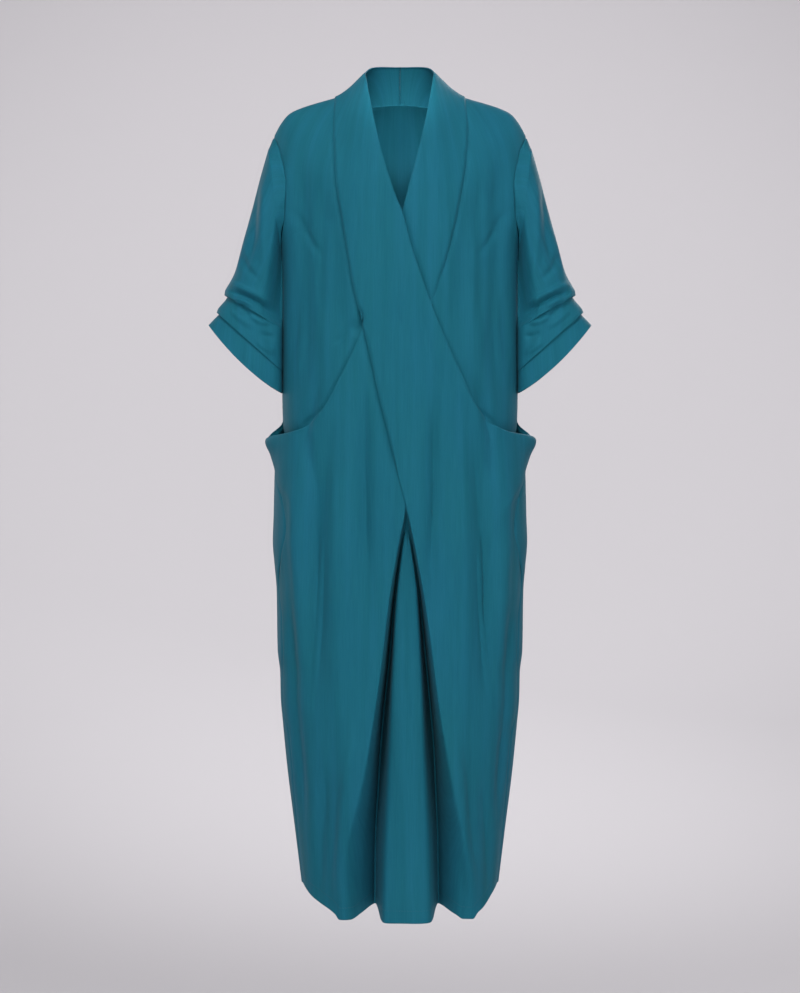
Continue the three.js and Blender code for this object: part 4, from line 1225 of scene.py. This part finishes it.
@dataclass(kw_only=True)
class Wrap(Piece):
    """Half the collar in one with its crossing band, a pocket mouth and half of the skirt's front.

    Attributes:
        side: the shoulder that the wrap starts from.
        edges: its two edges down to the crossing.
        lift: how far it lies above the body.
    """

    side: Side
    edges: Table
    lift: float
    cut: Cut = Cut(0.36, 1.5, 0.24)
    columns: int = 108
    rows: int = 341
    roll_share: float = 0.2  # share of the columns that turns back into the front opening
    stand_side: float = 38.0  # height of the collar's edge at the sides of the neck
    stand_back: float = 54.0  # and at the centre back
    stand_half: float = 52.5  # half the width of its loop
    stand_depth: float = 50.0  # and its depth behind the middle
    lap: float = 8.0  # the collar reaches this far below the back neckline
    overlap: float = 0.3  # of the two halves at the centre back

    def __post_init__(self) -> None:
        """Reads the tables."""
        self.parted = (f"collar_{self.side.name.lower()}",)
        column = "over" if self.side is Side.RIGHT else "under"
        self.opening, self.roll, self.deep = curves(OPENING, "z", column, "roll", "deep")
        self.front_hem = FRONT_HEM.curve("x", "z")
        self.key_rows()

    def key_rows(self) -> None:
        """Joins the edges' table to the rows of the skirt, as functions of the row number."""
        form, way = self.form, self.side.value
        outer_x, outer_z, inner_x, inner_z = (self.edges.column(n) for n in self.edges.names)
        tips = np.linspace(POCKET_TIP, SIDE_HEM, SKIRT_KEYS)
        slits = np.linspace(CROSSING, SLIT_END, SKIRT_KEYS)
        outer_x, outer_z = np.append(outer_x, self.opening(slits)), np.append(outer_z, slits)
        seam = -way * (form.seam_angle(tips) - SEAM_GAP)
        number = np.arange(len(outer_z), dtype=float)
        self.edge_x = monotone(outer_z[::-1], outer_x[::-1])
        self.last_row = number[-1]
        self.crossing_row = self.last_row - (SKIRT_KEYS - 1)
        self.outer_z = monotone(number, outer_z)
        self.inner_z = monotone(number, np.append(inner_z, tips))
        self.outer_angle = monotone(number, form.angle_at(outer_x, outer_z))
        self.inner_angle = monotone(number, np.append(form.angle_at(inner_x, inner_z), seam))

    def hem_drop(self, share: Array) -> Array:
        """How far below its level row the hem lies at each column.

        Args:
            share: from 0 at the outer edge to 1 at the side seam.

        Returns:
            The differences of height, 0 at the side seam.
        """
        form, way = self.form, self.side.value
        end = np.array(SLIT_END)
        rolled, past = self.roll_shares(share)
        turned = form.angle_at(self.opening(end) - way * self.roll(end), end)
        angle = mix(turned, -way * form.seam_angle(np.array(SIDE_HEM)), past)
        level = mix(SLIT_END, SIDE_HEM, share)
        roll_x = self.opening(end) - way * self.roll(end) * rolled
        skirt_x = form.skirt_half(level) * power(np.sin(np.radians(angle)))
        x = np.where(rolled < 1, roll_x, skirt_x)
        return np.where(share >= 1, 0.0, self.front_hem(x) - level)

    def roll_shares(self, share: Array) -> tuple[Array, Array]:
        """How far each column is through the turned-back part, and through the part past it."""
        past = (share - self.roll_share) / (1 - self.roll_share)
        return np.clip(share / self.roll_share, 0, 1), np.clip(past, 0, 1)

    def front(self, row: Array, share: Array) -> Array:
        """Points below the shoulder line.

        The height and angle go straight from the outer edge to the inner one. Below the crossing the
        first columns turn back into the opening, ever steeper, and the hem takes its wave.

        Args:
            row: row numbers, as a column.
            share: from 0 at the outer edge to 1 at the inner one, as a row.

        Returns:
            The points.
        """
        form, way = self.form, self.side.value
        inner_angle = self.inner_angle(row)
        z = mix(self.outer_z(row), self.inner_z(row), share)
        angle = mix(self.outer_angle(row), inner_angle, share)
        past_crossing = row - self.crossing_row
        rolled, past = self.roll_shares(share)
        roll_end = self.edge_x(z) - way * self.roll(z) * rolled
        turned = mix(form.angle_at(roll_end, z), inner_angle, past)
        angle = mix(angle, turned, smooth((past_crossing + 4) / 3))
        z = z + self.hem_drop(share) * smooth((past_crossing - 8) / 7)
        points = form.wrap_surface(angle, z)
        normal = form.outward_normal(form.wrap_surface, angle, z)
        shoulder = np.array([way * 0.55, 0.0, 0.83])
        near = smooth(1 - form.depth_at(angle, z) / 12)[..., None]
        normal = unit(mix(normal, shoulder, near))
        sewn = smooth((np.abs(inner_angle) - np.abs(angle)) / 22)
        flush = mix(1.0, sewn, smooth((past_crossing + 1) / 3))
        lift = mix(NECK_LIFT, self.lift, smooth((-z - 60) / 90)) * flush
        points = points + normal * lift[..., None]
        past_edge = way * (self.edge_x(z) - points[..., 0]) / self.roll(z)
        points[..., 1] += self.deep(z) * (1 - np.clip(past_edge, 0, 1)) ** 1.6
        return points

    def stand(self, turn: Array, share: Array) -> Array:
        """The collar behind the shoulders: slightly hollow lines from its foot to its upper edge.

        Args:
            turn: from 90 degrees at the centre back to 0 at the shoulder, as a column.
            share: from 0 at the foot to 1 at the edge, as a row.

        Returns:
            The points.
        """
        form, way = self.form, self.side.value
        s, c = np.sin(np.radians(turn)), np.cos(np.radians(turn))
        seam_x = COLLAR_SEAM_X * c
        ratio = seam_x / form.trunk_half(np.zeros(1))
        from_centre = np.degrees(np.arcsin(np.clip(root_power(ratio), 0, 1)))
        depth = np.maximum(neckline_depth(seam_x) + self.lap * s * s / 1.2, 0.01)
        foot = form.trunk(way * (180 - from_centre), depth)
        out = unit(np.stack([np.zeros_like(s), 0.7 * s, np.ones_like(s)], -1))
        foot = foot + out * NECK_LIFT
        rise = mix(self.stand_side, self.stand_back, 1 - (1 - s) ** 1.8)
        edge = np.stack([way * self.stand_half * c, self.stand_depth * s, rise], -1)
        points = mix(foot, edge, share[..., None])
        sag = 4 * share * (1 - share)
        points[..., 2] -= 8 * sag * c
        points[..., 1] += 3 * sag * s
        points[..., 0] = way * np.maximum(way * points[..., 0], -self.overlap)
        return points

    def shape(self) -> Sheet:
        """Rows go from the centre back over the shoulder and down the front to the hem.

        Returns:
            The sheet.
        """
        share = stations(self.columns, 150)[None]
        turns = np.concatenate([[90, 89.7, 89.1], np.linspace(88, 3, 26)])[:, None]
        rows = np.linspace(0.0, self.last_row, self.rows)
        rows = np.concatenate([rows[:-1], self.last_row - np.array([0.02, 0.006, 0.0])])[:, None]
        points = np.concatenate([self.stand(turns, share), self.front(rows, share)])
        join = bump((np.arange(len(points)) - len(turns)) / 7.0)[:, None, None]
        for _ in range(10):  # evens out the join over the shoulder
            even = points.copy()
            even[1:-1] = (points[:-2] + 2 * points[1:-1] + points[2:]) / 4
            points = mix(points, even, join)
        sheet = Sheet(points)
        sewn, free = sheet.below(SEWN_DEPTH, 20), 1 - sheet.below(SEWN_DEPTH, 60)
        if self.side is Side.LEFT:
            sheet = sheet.raised(sheet.pressed(UNDER_GROOVES) * (points[..., 1] < 0))
        sheet = sheet.seam(Edge.LAST, where=sewn).seam(Edge.TOP, -1.3, 1.8)
        return sheet.seam(Edge.FIRST, 2.6, 3.2, free).seam(Edge.LAST, 1.0, 2.2, free)

    def thickness(self) -> Array:
        """Double in the collar and the bands, single in the skirt and thin at the seam behind."""
        thin = 1 - 0.8 * bump(self.sheet.distance(Edge.TOP) / 1.7)
        return thin * mix(DOUBLED, CLOTH, self.sheet.below(300, 300))


@dataclass(kw_only=True)
class CentrePanel(Piece):
    """The panel behind the front opening, whose box fold stands forward between the wraps."""

    name: str = "centre_panel"
    cut: Cut = Cut(0.28, 0.69, 0.12)
    top: float = -575.0
    lap: float = 9.0  # its edges reach this far behind the wraps' edges
    behind: float = 2.3  # and lie this far behind them
    short: float = 3.0  # the walls of the fold end this far inside the wraps' edges
    wave: float = 1.6  # of the fold's front, towards the hem

    def __post_init__(self) -> None:
        """Reads the tables."""
        self.half, self.inset, self.drop = curves(CENTRE_FOLD, "z", "half", "inset", "drop")
        self.over, self.under, self.deep = curves(OPENING, "z", "over", "under", "deep")
        self.fold = curves(BOX_FOLD, "along", *BOX_FOLD.names[1:])

    def edge(self, side: Side, z: Array) -> Array:
        """Middle of a wrap's edge at the front opening.

        Args:
            side: the side of the opening, left for the over wrap.
            z: heights.

        Returns:
            The points.
        """
        form = self.form
        if side is Side.LEFT:
            across, lift = self.over(z), mix(UNDER_LIFT, OVER_LIFT, smooth((CROSSING - 5 - z) / 50))
        else:
            across, lift = self.under(z), np.full_like(z, UNDER_LIFT)
        angle = form.angle_at(across, z)
        normal = form.outward_normal(form.skirt, angle, z)
        points = form.skirt(angle, z) + normal * lift[..., None]
        points[..., 1] += self.deep(z)
        return points

    def flank(self, side: Side, z: Array, along: Array) -> Array:
        """Half of the box fold, from its ridge down its wall to the lap behind a wrap.

        Args:
            side: the side of the ridge.
            z: heights of the rows.
            along: from 0 at the ridge to 1 at the lap's edge, as a row.

        Returns:
            For each point its x and y and how far it stands forward, from 0 to 1.
        """
        low = smooth((-z - 900) / 250)[:, None]
        across, wall_share, high, low_wall, low_high = (read(along) for read in self.fold)
        walls, height = mix(wall_share, low_wall, low), mix(high, low_high, low)
        edge = self.edge(side, z)[:, None]
        ridge_y = (-self.form.skirt_front(z) + self.inset(z))[:, None]
        gap = side.value * (edge[..., 0] - CENTRE_X)
        reach = np.maximum(gap - self.short, 1.0)
        half = np.minimum(self.half(z)[:, None], np.maximum(reach - 0.6, 0.8))
        fold = mix(half * across, reach, walls)
        x = mix(fold, np.maximum(gap, 0) + self.lap, np.clip((along - 0.88) / 0.12, 0, 1))
        stands = height * smooth((gap - 4) / 6)
        y = mix(edge[..., 1] + self.behind, ridge_y, stands)
        return np.stack([CENTRE_X + side.value * x, y, stands], -1)

    def shape(self) -> Sheet:
        """Rows go down and columns from the under wrap's edge over the box fold to the over wrap's.

        Returns:
            The sheet.
        """
        z = mix(self.top, SLIT_END, stations(150, 670))
        share = stations(140, 330) * 2 - 1
        right, left = (self.flank(side, z, np.abs(share)[None]) for side in Side)
        x, y, stands = np.moveaxis(np.where((share > 0)[None, :, None], left, right), -1, 0)
        down = z[:, None] - self.drop(z)[:, None] * smooth(stands)
        wavy = smooth((-down - 800) / 200) * smooth(stands / 0.8)
        y = y + self.wave * np.sin((x - CENTRE_X) / 9 + down / 130) * wavy
        return Sheet(np.stack([x, y, down], -1))


@dataclass(kw_only=True)
class Sleeve(Piece):
    """An elbow sleeve from the armhole to the cuff's seam, with two tucks at the outer edge."""

    side: Side
    name: str = "sleeve"
    cut: Cut = Cut(0.34, 0.3, 0.077)
    flat_rings: float = 3.0  # above the tucks the inner side lies flat on the body
    around: int = 120  # columns round the arm
    under_width: float = 2.2  # the underarm stands out from the side by this

    def __post_init__(self) -> None:
        """Adds the side to the name."""
        self.name = f"{self.name}_{self.side.name.lower()}"

    def turns(self) -> Array:
        """Degrees of the columns, from the outer edge over the front."""
        return np.linspace(0, 360, self.around + 1)[:-1]

    def ring(self, rings: Table, number: Array) -> Array:
        """An ellipse between the outer and inner points of a ring, hanging by its sag in the middle.

        Args:
            rings: the table of rings.
            number: ring numbers, as a column.

        Returns:
            The points.
        """
        read = {name: rings.along(name)(number) for name in rings.names}
        turn = np.radians(self.turns())[None]
        c, s = np.cos(turn), np.sin(turn)
        x = mix(read["in_x"], read["out_x"], (1 + c) / 2)
        z = mix(read["in_z"], read["out_z"], (1 + c) / 2) - read["sag"] * s * s
        flat = 1 - smooth((number - self.flat_rings) / 4)
        inner = smooth((1 + c) / 0.84) ** 0.6
        y = -read["depth"] * s * mix(1.0, inner, flat) - 2 - 22 * ((1 - c) / 2) ** 4
        return np.stack([self.side.value * x, y, z], -1)

    def armhole(self) -> Array:
        """The loop of the armhole, sewn to the edges of the front and the back.

        Returns:
            One point for each column.
        """
        form, way, turn = self.form, self.side.value, self.turns()
        depth = ARMHOLE_DROP * (1 - np.cos(np.radians(turn))) / 2
        under = smooth((90 - np.abs(180 - turn)) / 60)
        angle = form.edge_angle(np.minimum(depth, ARMHOLE_DROP - 0.01)) - 0.25
        angle = np.minimum(angle, 89.9)
        angle = way * np.where(turn <= 180, angle, 180 - angle)
        points = form.trunk(angle, depth - 1.2 * under)
        points[..., 0] += way * self.under_width * under
        return points

    def shape(self) -> Sheet:
        """Rows go from the armhole down to the cuff and columns round the arm.

        The first rows are a cubic from the armhole to the first ring that leaves along the sleeve.

        Returns:
            The sheet.
        """
        number = stations(130, 260) * 10
        start = self.ring(SLEEVE_RINGS, np.zeros((1, 1)))
        slope = self.ring(SLEEVE_RINGS, np.full((1, 1), 0.25)) - start
        rise = np.linspace(0, 1, 22)[:-1, None, None]
        head = mix(self.armhole()[None], start, smooth(rise))
        head = head + 2.2 * slope * (rise**2 - rise**3)
        sheet = Sheet(np.concatenate([head, self.ring(SLEEVE_RINGS, number[:, None])]), is_tube=True)
        facing = smooth((np.abs(sheet.points[..., 1] + 2) - 8) / 20)
        return sheet.raised(sheet.pressed(SLEEVE_CREASES) * facing).seam(Edge.TOP, deep=1.6)


@dataclass(kw_only=True)
class Cuff(Sleeve):
    """The hem band of a sleeve, folded double."""

    name: str = "cuff"
    cut: Cut = Cut(0.36, 0.045, 0.015)
    flat_rings: float = -9.0  # none

    def shape(self) -> Sheet:
        """Rows go from the seam under the sleeve's end down to the hem."""
        return Sheet(self.ring(CUFF_RINGS, (stations(26, 40) * 3)[:, None]), is_tube=True)

    def thickness(self) -> float:
        """The cuff is folded double."""
        return DOUBLED


@dataclass(frozen=True)
class Hems:
    """The rows of stitches that hold the turned-up hems of the skirt."""

    above: float = 19.0  # from the hem's edge up to the row
    pitch: float = 4.2
    length: float = 3.0
    radius: float = 0.22

    def hem_row(self, sheet: Sheet) -> Array:
        """Where the row of stitches crosses each column.

        Args:
            sheet: the cloth.

        Returns:
            Row numbers with fractions, between the last row further from the hem and the next one.
        """
        away = sheet.distance(Edge.BOTTOM)
        column = np.arange(away.shape[1])
        low = (away > self.above).sum(axis=0) - 1
        start, end = away[low, column], away[low + 1, column]
        return low + (start - self.above) / (start - end)

    def build(self, pieces: list[Piece], material: bpy.types.Material) -> bpy.types.Object:
        """Sews a row round the skirt.

        Args:
            pieces: the pieces with a hem.
            material: the thread's finish.

        Returns:
            The stitches.
        """
        parts = []
        for sheet in (piece.sheet for piece in pieces):
            starts, ends, out = row_of_stitches(sheet, self.hem_row(sheet), self.pitch, self.length)
            parts.append((starts + out * CLOTH / 2, ends + out * CLOTH / 2, out))
        joined = [np.concatenate(values) for values in zip(*parts)]
        made = threads("hem_stitches", *joined, self.radius)
        made.data.materials.append(material)
        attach(made, "root")
        LOG.info("%s: %d stitches", made.name, len(joined[0]))
        return made


# ---------------------------------------------------------------- studio
@dataclass(frozen=True)
class Studio:
    """A pale seamless room, soft lamps and the camera."""

    distance: float = 5.0
    height: float = -0.618
    field: float = 1.539  # height of the picture at the dress, in metres
    floor: float = -2.3
    glow: float = 0.20  # the room is lit evenly as a light tent is
    pale: tuple[float, float, float] = (0.500, 0.482, 0.500)

    def camera(self) -> None:
        """A level camera straight in front, with the field's height along its 36 mm side."""
        data = bpy.data.cameras.new("camera")
        data.sensor_width = 36.0
        data.lens = 36.0 * self.distance / self.field
        made = bpy.data.objects.new("camera", data)
        made.location = (0.0, -self.distance, self.height)
        made.rotation_euler = (math.radians(90), 0.0, 0.0)
        bpy.context.collection.objects.link(made)
        bpy.context.scene.camera = made

    def room(self) -> None:
        """A round floor that curves up into the walls: a quarter of an ellipse turned round the middle."""
        turn = np.linspace(0, 2 * math.pi, 97)[:-1]
        bend = np.radians(np.linspace(0, 90, 24))
        radius = np.concatenate([[0.05, 2.0], 3.5 + 7.5 * np.sin(bend), [11.0]]) / MM
        rise = (np.concatenate([[0, 0], 4.5 - 4.5 * np.cos(bend), [9.0]]) + self.floor) / MM
        level = np.broadcast_to(rise[:, None], (len(rise), 96))
        rings = np.stack([radius[:, None] * np.cos(turn), radius[:, None] * np.sin(turn), level], -1)
        index = np.arange(rings.shape[0] * 96).reshape(-1, 96)
        index = np.concatenate([index, index[:, :1]], axis=1)
        sides = np.stack([index[:-1, :-1], index[:-1, 1:], index[1:, 1:], index[1:, :-1]], -1)
        near, far = np.arange(0, 47), np.arange(95, 48, -1)
        cap = np.stack([near, near + 1, far - 1, far], -1)
        quads = np.concatenate([sides.reshape(-1, 4), cap])
        made = mesh_object("studio_floor", rings.reshape(-1, 3), quads)
        made.data.flip_normals()
        finish = bpy.data.materials.new("pale_floor")
        finish.use_nodes = True
        shader = finish.node_tree.nodes["Principled BSDF"]
        shader.inputs["Base Color"].default_value = (*self.pale, 1)
        shader.inputs["Roughness"].default_value = 0.95
        shader.inputs["Specular IOR Level"].default_value = 0.05
        shader.inputs["Emission Color"].default_value = (*self.pale, 1)
        shader.inputs["Emission Strength"].default_value = self.glow
        made.data.materials.append(finish)

    @staticmethod
    def lamp(name: str, place: tuple[float, float, float], size: float, watts: float) -> None:
        """Adds a soft square lamp that faces the middle of the dress and isn't seen itself.

        Args:
            name: the lamp's name.
            place: where it stands, in metres.
            size: of its sides, in metres.
            watts: its power.
        """
        data = bpy.data.lights.new(name, "AREA")
        data.shape, data.size, data.energy = "SQUARE", size, watts
        made = bpy.data.objects.new(name, data)
        made.location = place
        made.rotation_euler = (made.location - Vector((0, 0, -0.6))).to_track_quat("Z", "Y").to_euler()
        made.visible_camera = False
        bpy.context.collection.objects.link(made)

    @staticmethod
    def spot(name: str, place: tuple[float, float, float], aim: tuple[float, float, float], cone: float,
             watts: float) -> None:
        """Adds a lamp with a soft round pool of light.

        Args:
            name: the lamp's name.
            place: where it stands, in metres.
            aim: the middle of the pool.
            cone: its full angle in degrees.
            watts: its power.
        """
        data = bpy.data.lights.new(name, "SPOT")
        data.energy, data.spot_size, data.spot_blend = watts, math.radians(cone), 1.0
        data.shadow_soft_size = 0.02
        made = bpy.data.objects.new(name, data)
        made.location = place
        made.rotation_euler = (Vector(aim) - made.location).to_track_quat("-Z", "Y").to_euler()
        bpy.context.collection.objects.link(made)

    def build(self) -> None:
        """Sets up the whole studio."""
        bpy.context.scene.view_settings.view_transform = "Standard"
        self.camera()
        self.room()
        world = bpy.data.worlds.new("studio_air")
        world.use_nodes = True
        world.node_tree.nodes["Background"].inputs["Color"].default_value = (0.93, 0.95, 1.0, 1)
        world.node_tree.nodes["Background"].inputs["Strength"].default_value = 0.3
        bpy.context.scene.world = world
        self.lamp("front_light", (-0.30, -6.6, 0.30), 1.3, 32)
        self.lamp("left_light", (-2.3, -6.3, 2.2), 1.3, 88)
        self.lamp("right_light", (2.3, -6.3, 2.1), 1.3, 78)
        self.lamp("top_light", (-0.3, -2.2, 2.4), 1.0, 48)
        self.lamp("key_light", (-4.2, -5.0, 3.0), 3.0, 34)
        self.lamp("fill_light", (4.6, -4.6, 0.4), 3.0, 50)
        self.lamp("back_light", (2.4, 5.6, 2.0), 3.0, 150)
        self.lamp("rear_fill_light", (-4.2, 4.6, 0.6), 3.0, 60)
        self.spot("wall_light", (0.0, -1.0, 4.5), (0.0, 10.8, -0.95), 46.5, 4050)
        self.spot("neck_light", (0.0, -4.8, 1.5), (0.0, 0.05, -0.03), 2.2, 680)


# ---------------------------------------------------------------- assembly
def main() -> None:
    """Builds the dress and the studio."""
    logging.basicConfig(level=logging.INFO, format="%(name)s: %(message)s")
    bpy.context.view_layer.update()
    form = BodyForm()
    cloth, thread = TEAL.material(), ThreadFinish().material()
    hemmed = [
        Back(form=form),
        Wrap(form=form, name="wrap_under", side=Side.LEFT, edges=UNDER_WRAP, lift=UNDER_LIFT),
        Wrap(form=form, name="wrap_over", side=Side.RIGHT, edges=OVER_WRAP, lift=OVER_LIFT),
        CentrePanel(form=form),
    ]
    paired = [kind(form=form, side=side) for side in Side for kind in (SideFront, Sleeve, Cuff)]
    for piece in hemmed + paired:
        piece.build(cloth)
    Hems().build(hemmed, thread)
    Studio().build()
    bpy.context.view_layer.update()


if __name__ == "__main__":
    main()
